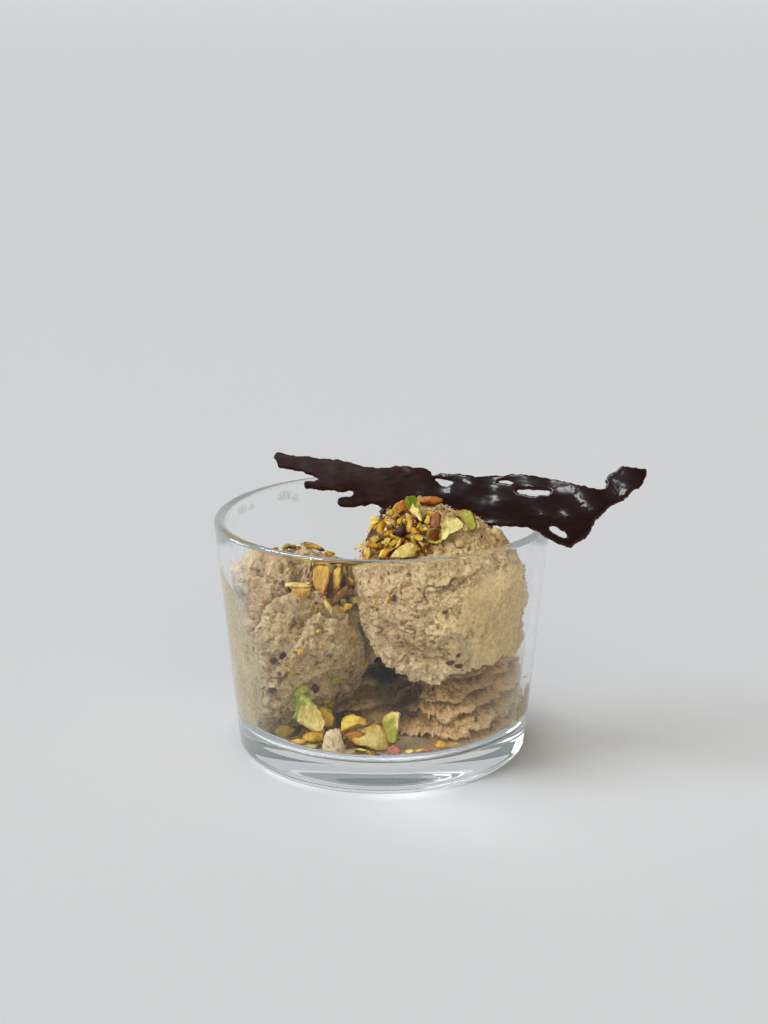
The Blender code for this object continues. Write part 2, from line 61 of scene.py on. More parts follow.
def waveNoise(points, size, seed=0):
    # soft bumps about size across, from -1 to 1: each cell corner has a random slope, and the
    # slopes are blended across the cell with the curve 6t^5 - 15t^4 + 10t^3
    scaled = points / size + waveShift * (seed + 1)
    corner = np.floor(scaled).astype(np.int64)
    t = scaled - corner
    eased = t**3 * (t * (t * 6 - 15) + 10)
    total = np.zeros(points.shape[:-1])
    for dx in (0, 1):
        for dy in (0, 1):
            for dz in (0, 1):
                near = np.array([dx, dy, dz])
                index = cornerNumbers(*np.moveaxis(corner + near, -1, 0))
                weight = np.prod(np.where(near == 1, eased, 1 - eased), axis=-1)
                total += weight * np.sum(cornerSlopes[index] * (t - near), axis=-1)
    return total * waveGain


def layeredNoise(points, size, layers=4, fade=0.5, seed=0):
    # bumps with ever smaller ones on them, each layer half as large and faded
    total = np.zeros(points.shape[:-1])
    strength = 1.0
    for layer in range(layers):
        total += strength * waveNoise(points, size / 2**layer, seed + 7 * layer)
        strength *= fade
    return total


def cellNoise(points, size, seed=0):
    # way to the nearest and to the next of one random spot in each cell, and the nearest's value
    scaled = points / size + cellShift * (seed + 1)
    cell = np.floor(scaled).astype(np.int64)
    nearest = np.full(points.shape[:-1], np.inf)
    following = np.full(points.shape[:-1], np.inf)
    value = np.zeros(points.shape[:-1])
    for dx in (-1, 0, 1):
        for dy in (-1, 0, 1):
            for dz in (-1, 0, 1):
                beside = cell + np.array([dx, dy, dz])
                index = cornerNumbers(*np.moveaxis(beside, -1, 0))
                away = np.linalg.norm(beside + cellPlaces[index] - scaled, axis=-1)
                closer = away < nearest
                following = np.where(closer, nearest, np.minimum(following, away))
                value = np.where(closer, cellValues[index], value)
                nearest = np.where(closer, away, nearest)
    return nearest, following, value


def smooth(low, high, value):
    # 0 below low, 1 above high, and the curve 3t^2 - 2t^3 between
    t = np.clip((value - low) / (high - low), 0, 1)
    return t * t * (3 - 2 * t)


def unit(vectors):
    return vectors / np.linalg.norm(vectors, axis=-1, keepdims=True)


def fromBearing(bearing, height):
    # direction at a bearing from +X and a height over level, both in degrees
    b = np.radians(bearing)
    h = np.radians(height)
    return np.stack([np.cos(b) * np.cos(h), np.sin(b) * np.cos(h), np.sin(h)], axis=-1)


def cubeBall(steps):
    # even directions: the tangent-spaced grid on each side of a cube, with every point then
    # brought to length one, and the points that two sides share merged
    line = np.tan(np.linspace(-1, 1, steps + 1) * math.pi / 4)
    u, v = np.meshgrid(line, line, indexing="ij")
    one = np.ones_like(u)
    sides = [(one, u, v), (-one, v, u), (v, one, u), (u, -one, v), (u, v, one), (v, u, -one)]
    points = np.concatenate([np.stack(side, axis=-1).reshape(-1, 3) for side in sides])
    row = np.arange(steps)
    start = (row[:, None] * (steps + 1) + row).ravel()
    quad = np.stack([start, start + steps + 1, start + steps + 2, start + 1], axis=1)
    quads = np.concatenate([quad + side * (steps + 1) ** 2 for side in range(6)])
    _, first, merged = np.unique(
        np.round(points, 6), axis=0, return_index=True, return_inverse=True)
    return unit(points[first]), merged.ravel()[quads]


def meshPiece(name, points, faces, material, values=None, sharpFrom=None):
    # points in millimetres; faces are one index array, or several of different widths
    groups = [group for group in (faces if isinstance(faces, list) else [faces]) if len(group)]
    mesh = bpy.data.meshes.new(name)
    mesh.vertices.add(len(points))
    mesh.vertices.foreach_set("co", (points * mm).astype(np.float32).ravel())
    corners = np.concatenate([group.ravel() for group in groups]).astype(np.int32)
    widths = np.concatenate([np.full(len(group), group.shape[1]) for group in groups])
    mesh.loops.add(len(corners))
    mesh.loops.foreach_set("vertex_index", corners)
    mesh.polygons.add(len(widths))
    starts = np.concatenate([[0], np.cumsum(widths)[:-1]]).astype(np.int32)
    mesh.polygons.foreach_set("loop_start", starts)
    mesh.update(calc_edges=True)
    mesh.shade_smooth()
    if sharpFrom:
        mesh.set_sharp_from_angle(angle=math.radians(sharpFrom))
    for key, value in (values or {}).items():
        value = np.asarray(value, np.float32)
        if value.ndim == 2:
            attribute = mesh.attributes.new(key, "FLOAT_COLOR", "POINT")
            opaque = np.ones((len(value), 1), np.float32)
            attribute.data.foreach_set("color", np.concatenate([value, opaque], axis=1).ravel())
        else:
            attribute = mesh.attributes.new(key, "FLOAT", "POINT")
            attribute.data.foreach_set("value", value)
    piece = bpy.data.objects.new(name, mesh)
    scene.collection.objects.link(piece)
    mesh.materials.append(material)
    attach(piece, "root")
    print(f"{name}: {sum(len(group) * (group.shape[1] - 2) for group in groups)} triangles")
    return piece


# Shader effects that several materials share

def newGroup(name, inputs, outputs):
    group = bpy.data.node_groups.new(name, "ShaderNodeTree")
    for kind, socketName, value in inputs:
        socket = group.interface.new_socket(socketName, in_out="INPUT", socket_type=kind)
        if value is not None:
            socket.default_value = value
    for kind, socketName in outputs:
        group.interface.new_socket(socketName, in_out="OUTPUT", socket_type=kind)
    source = group.nodes.new("NodeGroupInput")
    result = group.nodes.new("NodeGroupOutput")
    return group, source, result


def addNode(tree, kind, settings=None, **links):
    # a node with its settings, and each named input linked or given a plain value
    node = tree.nodes.new("ShaderNode" + kind)
    for key, value in (settings or {}).items():
        setattr(node, key, value)
    for key, value in links.items():
        numbered = key[0] == "i" and key[1:].isdigit()
        socket = node.inputs[int(key[1:]) if numbered else key.replace("_", " ")]
        if isinstance(value, bpy.types.NodeSocket):
            tree.links.new(value, socket)
        else:
            socket.default_value = value
    return node


def mathNode(tree, operation, a, b=0.0, clamp=False):
    node = addNode(tree, "Math", {"operation": operation, "use_clamp": clamp}, i0=a, i1=b)
    return node.outputs[0]


def mixColour(tree, share, a, b, blend="MIX"):
    node = tree.nodes.new("ShaderNodeMix")
    node.data_type = "RGBA"
    node.blend_type = blend
    for socket, value in zip((node.inputs[0], node.inputs[6], node.inputs[7]), (share, a, b)):
        if isinstance(value, bpy.types.NodeSocket):
            tree.links.new(value, socket)
        else:
            socket.default_value = (*value, 1.0) if isinstance(value, tuple) else value
    return node.outputs[2]


def multiplied(tree, a, b):
    return mixColour(tree, 1.0, a, b, blend="MULTIPLY")


def makeSpecks():
    # small spots in cells of Size metres: Amount is the share of cells with one, Reach its radius
    inputs = [("NodeSocketVector", "Place", None), ("NodeSocketFloat", "Size", 0.001),
              ("NodeSocketFloat", "Amount", 0.1), ("NodeSocketFloat", "Reach", 0.3)]
    group, source, result = newGroup("specks", inputs, [("NodeSocketFloat", "Mask")])
    scale = mathNode(group, "DIVIDE", 1.0, source.outputs["Size"])
    bent = addNode(group, "TexNoise", Vector=source.outputs["Place"], Scale=scale)
    shift = addNode(group, "VectorMath", {"operation": "SUBTRACT"},
                    i0=bent.outputs["Color"], i1=(0.5, 0.5, 0.5))
    shorter = addNode(group, "VectorMath", {"operation": "SCALE"},
                      i0=shift.outputs[0], Scale=source.outputs["Size"])
    moved = addNode(group, "VectorMath", {"operation": "ADD"},
                    i0=source.outputs["Place"], i1=shorter.outputs[0])
    cells = addNode(group, "TexVoronoi", Vector=moved.outputs[0], Scale=scale)
    apart = addNode(group, "SeparateColor", Color=cells.outputs["Color"])
    chosen = mathNode(group, "LESS_THAN", apart.outputs[0], source.outputs["Amount"])
    near = addNode(group, "MapRange", {"interpolation_type": "SMOOTHSTEP"},
                   Value=cells.outputs["Distance"], From_Min=source.outputs["Reach"],
                   From_Max=mathNode(group, "MULTIPLY", source.outputs["Reach"], 0.45),
                   To_Min=0.0, To_Max=1.0)
    mask = mathNode(group, "MULTIPLY", chosen, near.outputs[0])
    group.links.new(mask, result.inputs["Mask"])
    return group


def makeGrain():
    # fine and coarse grains as a height from 0 to 1, Size metres across
    inputs = [("NodeSocketVector", "Place", None), ("NodeSocketFloat", "Size", 0.0005),
              ("NodeSocketFloat", "Calm", 0.0)]
    group, source, result = newGroup("grain", inputs, [("NodeSocketFloat", "Height")])
    scale = mathNode(group, "DIVIDE", 1.0, source.outputs["Size"])
    noise = addNode(group, "TexNoise", Vector=source.outputs["Place"], Scale=scale,
                    Detail=4.0, Roughness=0.65)
    cells = addNode(group, "TexVoronoi", {"feature": "SMOOTH_F1"},
                    Vector=source.outputs["Place"], Scale=scale)
    rounder = mathNode(group, "MULTIPLY", cells.outputs[0], 0.5)
    both = mathNode(group, "SUBTRACT", noise.outputs[0], rounder)
    loud = mathNode(group, "SUBTRACT", 1.0, source.outputs["Calm"])
    height = mathNode(group, "MULTIPLY", both, loud)
    group.links.new(height, result.inputs["Height"])
    return group


def makeMottle():
    # two colours in soft patches of Size metres, Contrast from 0 to 1
    inputs = [("NodeSocketVector", "Place", None), ("NodeSocketFloat", "Size", 0.004),
              ("NodeSocketFloat", "Contrast", 0.5), ("NodeSocketColor", "First", (1, 1, 1, 1)),
              ("NodeSocketColor", "Second", (0, 0, 0, 1))]
    outputs = [("NodeSocketColor", "Colour"), ("NodeSocketFloat", "Mask")]
    group, source, result = newGroup("mottle", inputs, outputs)
    scale = mathNode(group, "DIVIDE", 1.0, source.outputs["Size"])
    noise = addNode(group, "TexNoise", Vector=source.outputs["Place"], Scale=scale,
                    Detail=3.0)
    spread = mathNode(group, "SUBTRACT", noise.outputs[0], 0.5)
    gain = mathNode(group, "MULTIPLY", source.outputs["Contrast"], 6.0)
    steep = mathNode(group, "MULTIPLY", spread, gain)
    mask = mathNode(group, "ADD", steep, 0.5, clamp=True)
    colour = mixColour(group, mask, source.outputs["First"], source.outputs["Second"])
    group.links.new(colour, result.inputs["Colour"])
    group.links.new(mask, result.inputs["Mask"])
    return group


speckGroup = makeSpecks()
grainGroup = makeGrain()
mottleGroup = makeMottle()


def useGroup(tree, group, **links):
    return addNode(tree, "Group", {"node_tree": group}, **links)


def newMaterial(name, plain):
    # a Principled material with plain values on its sockets, and Object coordinates
    material = bpy.data.materials.new(name)
    material.use_nodes = True
    tree = material.node_tree
    shader = tree.nodes["Principled BSDF"]
    for key, value in plain.items():
        shader.inputs[key].default_value = value
    place = addNode(tree, "TexCoord").outputs["Object"]
    return material, tree, shader, place


def readValue(tree, name, output="Fac"):
    return addNode(tree, "Attribute", {"attribute_name": name}).outputs[output]


def patches(tree, place, size, contrast, first=(1, 1, 1), second=(0, 0, 0)):
    # two colours in soft patches of a size in metres, and the mask between them
    node = useGroup(tree, mottleGroup, Place=place, Size=size, Contrast=contrast,
                    First=(*first, 1), Second=(*second, 1))
    return node.outputs["Colour"], node.outputs["Mask"]


def stretch(tree, place, turn, scale):
    return addNode(tree, "Mapping", Vector=place, Rotation=turn, Scale=scale).outputs[0]


def addGrain(tree, shader, place, size, calm, distance):
    # grains of a size and a height in metres as a bump
    grain = useGroup(tree, grainGroup, Place=place, Size=size, Calm=calm)
    bump = addNode(tree, "Bump", Height=grain.outputs["Height"], Distance=distance,
                   Strength=1.0)
    tree.links.new(bump.outputs[0], shader.inputs["Normal"])


creamLook = {
    "plain": {"Roughness": 0.6, "Subsurface Weight": 0.1, "Subsurface Scale": 0.001,
              "Subsurface Radius": (1.0, 0.62, 0.35), "Specular IOR Level": 0.3},
    "raised": (0.905, 0.715, 0.442),
    "middle": (0.575, 0.400, 0.188),
    # colour in the hollows, dark as painted shade
    "sunk": (0.16, 0.085, 0.030),
    "sunkTo": 0.42,  # relief at which the hollows' colour ends, and at which the raised one begins
    "raisedFrom": 0.38,
    # soft patches: size in metres, contrast and the two colours
    "fine": (0.0011, 0.5),
    "tiny": (0.0005, 0.6),
    "tints": (0.0045, 0.45, (0.62, 0.37, 0.175), (0.64, 0.47, 0.20)),
    "smear": (0.0022, 0.2, (0.56, 0.418, 0.219), (0.80, 0.655, 0.392)),
    "clouds": (0.006, 0.35, (0.82, 0.79, 0.76), (1.09, 1.10, 1.11)),
    "mottle": (0.0009, 0.5, (0.76, 0.71, 0.63), (1.11, 1.11, 1.10)),
    "fineShare": 0.32,
    "tinyShare": 0.36,
    "lowered": 0.30,  # what the two fine patches take off the relief
    "tintShare": 0.30,
    "smearShare": 0.72,
    "smearTurn": (0.2, 0.9, 0.3),
    "smearStretch": (1.0, 1.0, 0.35),
    # size in metres, share of the cells that hold one, reach in cells, strength and colour
    "specks": (
        (0.0013, 0.16, 0.30, 0.50, (0.17, 0.075, 0.03)),
        (0.0045, 0.09, 0.15, 0.80, (0.60, 0.36, 0.05)),
        (0.0060, 0.07, 0.16, 0.75, (0.08, 0.03, 0.045)),
        (0.0021, 0.08, 0.16, 0.60, (0.08, 0.03, 0.045)),
        (0.0010, 0.12, 0.26, 0.60, (0.62, 0.37, 0.175)),
    ),
    "grain": 0.00055,
    "bump": 0.00045,
    "flattened": 0.85,  # how far its grain is calmed where it is pressed
}


def makeCreamMaterial():
    # relief is 1 on grains that stand out and 0 in hollows, where the colour is darkest as painted
    # shade; pressed is 1 where it is on the glass; calm is 1 where it has no grain; tint multiplies
    # the colour, and holds painted shade and painted light in places
    look = creamLook
    material, tree, shader, place = newMaterial("iceCream", look["plain"])
    relief = readValue(tree, "relief")
    pressed = readValue(tree, "pressed")
    calm = readValue(tree, "calm")
    fine = mathNode(tree, "MULTIPLY", patches(tree, place, *look["fine"])[1], look["fineShare"])
    tiny = mathNode(tree, "MULTIPLY", patches(tree, place, *look["tiny"])[1], look["tinyShare"])
    uneven = mathNode(tree, "SUBTRACT", mathNode(tree, "ADD", fine, tiny), look["lowered"])
    uneven = mathNode(tree, "MULTIPLY", uneven, mathNode(tree, "SUBTRACT", 1.0, calm))
    height = mathNode(tree, "ADD", relief, uneven, clamp=True)
    low = addNode(tree, "MapRange", Value=height, From_Min=0.0, From_Max=look["sunkTo"])
    high = addNode(tree, "MapRange", Value=height, From_Min=look["raisedFrom"],
                   From_Max=1.0)
    # darkest in the hollows: painted shade
    body = mixColour(tree, low.outputs[0], look["sunk"], look["middle"])
    body = mixColour(tree, high.outputs[0], body, look["raised"])
    body = mixColour(tree, look["tintShare"], body, patches(tree, place, *look["tints"])[0])
    streaks = stretch(tree, place, look["smearTurn"], look["smearStretch"])
    smeared = patches(tree, streaks, *look["smear"])[0]
    for layer in ("clouds", "mottle"):
        smeared = multiplied(tree, smeared, patches(tree, place, *look[layer])[0])
    body = mixColour(tree, mathNode(tree, "MULTIPLY", pressed, look["smearShare"]), body, smeared)
    for size, amount, reach, strength, colour in look["specks"]:
        specks = useGroup(tree, speckGroup, Place=place, Size=size, Amount=amount, Reach=reach)
        share = mathNode(tree, "MULTIPLY", specks.outputs["Mask"], strength)
        body = mixColour(tree, share, body, colour)
    # the tint, with painted shade and painted light in places
    body = multiplied(tree, body, readValue(tree, "tint", "Color"))
    tree.links.new(body, shader.inputs["Base Color"])
    flat = mathNode(tree, "MULTIPLY", pressed, look["flattened"])
    flat = mathNode(tree, "MAXIMUM", flat, calm)
    addGrain(tree, shader, place, look["grain"], flat, look["bump"])
    return material


nutLook = {
    "plain": {"Roughness": 0.42, "Subsurface Weight": 0.07, "Subsurface Scale": 0.0008,
              "Subsurface Radius": (1.0, 0.8, 0.3), "Specular IOR Level": 0.28},
    "wander": (0.0013, 0.5),
    "wanderDepth": 0.22,  # how far the edge between rim and heart wanders
    "heartFrom": 0.02,  # depth at which the rim's colour ends and the heart's is full
    "heartFull": 0.34,
    "coat": ((0.05, 0.012, 0.022), (0.17, 0.055, 0.03)),
    "patches": (0.0019, 0.35, (0.78, 0.68, 0.44), (1.12, 1.12, 1.04)),
    "fibres": (0.0006, 0.55, (0.82, 0.77, 0.66), (1.08, 1.08, 1.06)),
    "fibreTurn": (0.3, 0.5, 0.9),
    "fibreStretch": (1.0, 1.0, 0.4),
    "grain": 0.0005,
    "bump": 0.0004,
    "calm": 0.1,
}


def makeNutMaterial():
    # depth is 0 at a piece's rim and 1 deep in; rimTint, heartTint and skin come with each piece
    look = nutLook
    material, tree, shader, place = newMaterial("pistachio", look["plain"])
    wander = patches(tree, place, *look["wander"])[1]
    uneven = mathNode(tree, "SUBTRACT", wander, 0.5)
    uneven = mathNode(tree, "MULTIPLY", uneven, look["wanderDepth"])
    inward = mathNode(tree, "ADD", readValue(tree, "depth"), uneven)
    inner = addNode(tree, "MapRange", {"interpolation_type": "SMOOTHSTEP"},
                    Value=inward, From_Min=look["heartFrom"], From_Max=look["heartFull"]).outputs[0]
    body = mixColour(tree, inner, readValue(tree, "rimTint", "Color"),
                     readValue(tree, "heartTint", "Color"))
    body = mixColour(tree, readValue(tree, "skin"), body, mixColour(tree, wander, *look["coat"]))
    body = multiplied(tree, body, patches(tree, place, *look["patches"])[0])
    fibres = stretch(tree, place, look["fibreTurn"], look["fibreStretch"])
    body = multiplied(tree, body, patches(tree, fibres, *look["fibres"])[0])
    tree.links.new(body, shader.inputs["Base Color"])
    addGrain(tree, shader, fibres, look["grain"], look["calm"], look["bump"])
    return material


chocolateLook = {
    "plain": {"Specular IOR Level": 0.06, "Coat Roughness": 0.16, "Coat IOR": 1.42},
    "body": (0.0125, 0.0036, 0.0026),
    "bloom": (0.036, 0.0135, 0.009),
    "bloomShare": 0.8,
    # red glow at the thin edge: painted light shining through
    "thinEdgeGlow": (0.075, 0.019, 0.009),
    "streaks": (0.0012, 0.4),
    "streakTurn": (0, 0, 0.436),
    "streakStretch": (0.22, 1, 1),
    "matte": 0.46,
    "mattePatches": (0.0035, 0.5),
    "matteSpread": 0.14,
    "gloss": 0.42,
    "grain": 0.0011,
    "bump": 0.00012,
    "glossCalm": 0.6,
}


def makeChocolateMaterial():
    # gloss is 1 where it is shiny, rim is 1 at its thin edge, which is given a red glow as painted
    # light shining through
    look = chocolateLook
    material, tree, shader, place = newMaterial("chocolate", look["plain"])
    gloss = readValue(tree, "gloss")
    along = stretch(tree, place, look["streakTurn"], look["streakStretch"])
    streaks = patches(tree, along, *look["streaks"], look["body"], look["bloom"])[0]
    dull = mathNode(tree, "SUBTRACT", 1.0, gloss)
    share = mathNode(tree, "MULTIPLY", dull, look["bloomShare"])
    body = mixColour(tree, share, look["body"], streaks)
    body = mixColour(tree, readValue(tree, "rim"), body, look["thinEdgeGlow"])
    tree.links.new(body, shader.inputs["Base Color"])
    more = patches(tree, place, *look["mattePatches"])[1]
    more = mathNode(tree, "MULTIPLY", more, look["matteSpread"])
    tree.links.new(mathNode(tree, "ADD", more, look["matte"]), shader.inputs["Roughness"])
    shine = mathNode(tree, "MULTIPLY", gloss, look["gloss"])
    tree.links.new(shine, shader.inputs["Coat Weight"])
    calm = mathNode(tree, "MULTIPLY", gloss, look["glossCalm"])
    addGrain(tree, shader, along, look["grain"], calm, look["bump"])
    return material


filmLook = {
    "plain": {"Roughness": 0.5, "Specular IOR Level": 0.2},
    "patches": (0.0007, 0.6, (0.62, 0.60, 0.52), (0.80, 0.79, 0.74)),
    "cover": 0.5,  # the least that a patch covers
}


def makeFilmMaterial():
    # a thin milky film, patchy and mostly clear, for dried smears and for painted reflections and
    # highlight streaks on the glass
    look = filmLook
    material, tree, shader, place = newMaterial("filmAndPaintedGlare", look["plain"])
    colour, mask = patches(tree, place, *look["patches"])
    tree.links.new(colour, shader.inputs["Base Color"])
    cover = mathNode(tree, "MULTIPLY", mask, 1 - look["cover"])
    cover = mathNode(tree, "ADD", cover, look["cover"])
    film = mathNode(tree, "MULTIPLY", cover, readValue(tree, "film"))
    tree.links.new(film, shader.inputs["Alpha"])
    return material


glassLook = {
    "plain": {"Roughness": 0.0, "IOR": 1.5, "Specular Tint": (0.5, 0.53, 0.54, 1),
              "Transmission Weight": 1.0, "Base Color": (0.982, 0.996, 0.993, 1)},
    "through": (0.985, 0.99, 0.99, 1),
    "softShare": 0.35,  # how much of the bounced light goes straight through
    "lateAfter": 5.5,  # bounces after which light is taken as the room's
    "room": (0.42, 0.465, 0.46, 1),
    "roomStrength": 0.8,
}


def makeGlassMaterial():
    # clear glass that lets soft light straight through, so that it throws a thin shadow; light
    # that has bounced many times inside it is taken as the pale light of the room
    look = glassLook
    material, tree, shader, _ = newMaterial("clearGlass", look["plain"])
    path = addNode(tree, "LightPath").outputs
    late = mathNode(tree, "GREATER_THAN", path["Ray Depth"], look["lateAfter"])
    room = addNode(tree, "Emission", Color=look["room"], Strength=look["roomStrength"])
    inside = addNode(tree, "MixShader", i0=late, i1=shader.outputs[0], i2=room.outputs[0])
    through = addNode(tree, "BsdfTransparent", Color=look["through"])
    soft = mathNode(tree, "MULTIPLY", path["Is Diffuse Ray"], look["softShare"])
    soft = mathNode(tree, "MAXIMUM", path["Is Shadow Ray"], soft)
    blend = addNode(tree, "MixShader", i0=soft, i1=inside.outputs[0],
                    i2=through.outputs[0])
    tree.links.new(blend.outputs[0], tree.nodes["Material Output"].inputs["Surface"])
    return material


creamMaterial = makeCreamMaterial()
nutMaterial = makeNutMaterial()
chocolateMaterial = makeChocolateMaterial()
filmMaterial = makeFilmMaterial()
glassMaterial = makeGlassMaterial()
print("materials made")


# Glass bowl, in millimetres

glass = {
    "height": 60.5,
    "rimRadius": 41.25,
    "footRadius": 35.57,  # where the tapered side would meet the table
    "wall": 2.5,
    "base": 8.0,
    "heel": 4.5,
    "innerFillet": 5.0,
    "ring": 29.5,  # radius of the ring it stands on, inside which it is hollowed
    "dimple": 1.0,
    "dimpleFlat": 6.0,  # radius inside which the dimple is level
    "turnSteps": 576,
    "arcSteps": 14,
    "wallSteps": 10,
    "floorSteps": 12,
    "underSteps": 30,
}
taper = (glass["rimRadius"] - glass["footRadius"]) / glass["height"]


def wallRadius(height):
    return glass["footRadius"] + taper * height - glass["wall"]


def hollowRadius(height):
    # inner wall, drawn in by the quarter circle between it and the floor
    rise = np.clip(height - glass["base"], 0, glass["innerFillet"])
    left = glass["innerFillet"] - rise
    drawnIn = glass["innerFillet"] - np.sqrt(np.maximum(glass["innerFillet"] ** 2 - left**2, 0))
    return wallRadius(height) - drawnIn


def arc(centreX, centreZ, radius, start, end, steps):
    # points on a circle, from one angle to another in degrees
    angle = np.radians(np.linspace(start, end, steps + 1))
    return np.stack([centreX + radius * np.cos(angle), centreZ + radius * np.sin(angle)], axis=1)


def glassProfile():
    # floor of the hollow, fillet, inner wall, round rim, outer wall, heel and underside
    steps = glass["arcSteps"]
    bead = glass["wall"] / 2
    fillet = glass["innerFillet"]
    filletX = wallRadius(glass["base"] + fillet) - fillet
    heelX = glass["footRadius"] + taper * glass["heel"] - glass["heel"]
    inner = arc(filletX, glass["base"] + fillet, fillet, -90, 0, steps)
    rim = arc(glass["rimRadius"] - bead, glass["height"] - bead, bead, 180, 0, steps)
    heel = arc(heelX, glass["heel"], glass["heel"], 0, -90, steps)
    share = np.linspace(0, 1, glass["wallSteps"] + 2)[1:-1, None]
    innerWall = inner[-1] + (rim[0] - inner[-1]) * share
    outerWall = rim[-1] + (heel[0] - rim[-1]) * share
    across = np.linspace(0, 1, glass["floorSteps"], endpoint=False)[1:, None]
    floor = np.array([[0.0, glass["base"]]]) + (inner[0] - [0.0, glass["base"]]) * across
    radius = np.linspace(heel[-1, 0], 0, glass["underSteps"])[1:-1]
    dimple = glass["dimple"] * smooth(glass["ring"], glass["dimpleFlat"], radius)
    under = np.stack([radius, dimple], axis=1)
    return np.concatenate([floor, inner, innerWall, rim, outerWall, heel, under])


def turnedShell(profile, lowZ, highZ, steps):
    # the profile carried round the Z axis, with one point at each end on the axis
    angle = np.linspace(0, 2 * math.pi, steps, endpoint=False)
    radius, height = profile[:, 0], profile[:, 1]
    ring = np.stack([np.cos(angle)[:, None] * radius, np.sin(angle)[:, None] * radius,
                     np.broadcast_to(height, (steps, len(height)))], axis=-1)
    rows = len(profile)
    points = np.concatenate([ring.reshape(-1, 3), [[0, 0, highZ], [0, 0, lowZ]]])
    here = np.arange(steps) * rows
    beside = np.roll(here, -1)
    row = np.arange(rows - 1)
    first = (here[:, None] + row).ravel()
    second = (beside[:, None] + row).ravel()
    quads = np.stack([first, first + 1, second + 1, second], axis=1)
    top = np.full(steps, steps * rows)
    start = np.stack([top, here, beside], axis=1)
    end = np.stack([top + 1, beside + rows - 1, here + rows - 1], axis=1)
    return points, quads, np.concatenate([start, end])


def makeGlass():
    points, quads, fans = turnedShell(
        glassProfile(), glass["dimple"], glass["base"], glass["turnSteps"])
    piece = meshPiece("glassBowl", points, [quads, fans], glassMaterial)
    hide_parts("glass_bowl")


makeGlass()


# Ice cream, in millimetres

contact = {
    # places on the wall that the ice cream stays clear of: place, size and how far
    "clear": (
        ((18.7, -31.5, 38.5), 3.6, 4.5), ((20.7, -30.0, 35.9), 3.0, 4.0),
        ((-28.0, -24.0, 42.0), 4.0, 5.0), ((-27.5, -23.0, 33.0), 2.5, 3.0),
        ((-27.0, -22.0, 24.0), 3.0, 3.0),
    ),
    "bite": 0.12,  # how far it reaches into the wall where it touches
    "gap": 0.25,  # how far it stands off the wall where it doesn't
    "floorGap": 0.12,  # it stands on the floor on its grains, so the base stays clear below it
    "rippleSize": 6.5,
    "ripple": 1.7,
    # round holes in what is pressed on the wall, then its ragged edge: strength, size and seed
    "pores": ((1.6, 2.3, 71), (1.1, 1.2, 72)),
    "poreShare": 0.30,
    "ragged": ((0.45, 1.1, 73), (0.25, 0.6, 74)),
    # where its colour starts to turn into that of the pressed parts, how raggedly and how far
    "near": (3.2, 0.2),
    "nearRagged": 1.3,
    "nearShare": 0.45,
    "rim": 0.5,  # how much its relief and its colour show round what is pressed
}


def keepInGlass(points):
    # points past the wall or the floor are brought back to its surface; where they come near it,
    # a slow ripple decides whether they are pressed flat or stand clear of it
    radius = np.hypot(points[:, 0], points[:, 1])
    low = glass["base"] + contact["floorGap"]
    height = np.maximum(points[:, 2], low)
    wall = hollowRadius(height)
    ripple = layeredNoise(points, contact["rippleSize"], 4, 0.7, 70)
    past = radius - wall + contact["ripple"] * ripple
    for strength, size, seed in contact["pores"]:
        past = past - strength * poreSpots(points, size, contact["poreShare"], seed)
    for strength, size, seed in contact["ragged"]:
        past = past + strength * waveNoise(points, size, seed)
    for place, size, clearance in contact["clear"]:
        past = past - clearance * np.exp(-np.sum((points - place) ** 2, axis=1) / size**2)
    limit = np.where(past > 0, wall + contact["bite"], wall - contact["gap"])
    share = np.where(radius > limit, limit / np.maximum(radius, 1e-9), 1.0)
    pressed = np.where(radius > limit, smooth(-0.1, 0.5, past), 0.0)
    kept = np.stack([points[:, 0] * share, points[:, 1] * share, height], axis=1)
    return kept, np.maximum(pressed, smooth(0.0, 0.5, low - points[:, 2]))


def lobe(directions, towards, size, spread):
    # size * exp(-(angle / spread)^2) round one direction: a swelling, or a dent if negative
    angle = np.arccos(np.clip(directions @ unit(np.array(towards, float)), -1, 1))
    return size * np.exp(-((angle / spread) ** 2))


def dome(way, reach):
    # round bump: 1 - (way / reach)^2 within its reach
    return np.maximum(0, 1 - (way / reach) ** 2)


def poreSpots(points, size, share, seed):
    # 1 in the middle of small round holes, one in some of the cells of the given size
    near, _, value = cellNoise(points, size, seed)
    return smooth(0.36, 0.10, near) * (value < share)


crumb = {
    # sizes and heights of each kind of unevenness, in millimetres
    "bendSize": 1.7, "bend": 0.30,
    "clumpSize": 1.9, "clump": 0.34,
    "grainSize": 0.85, "grain": 0.44,
    "lumpSize": 8.0, "lump": 0.55,
    "ridgeSize": 3.2, "ridge": 0.20,
    "crackSize": 9.0, "crack": 1.1,
    "pitSize": 1.5, "pit": 0.45,
    "poreSize": 1.25,
    "patchSize": 9.0,  # of the rougher places
    "crackedSize": 7.0,  # of the places that are cracked
    "level": 0.32,  # what the grains add on average
}


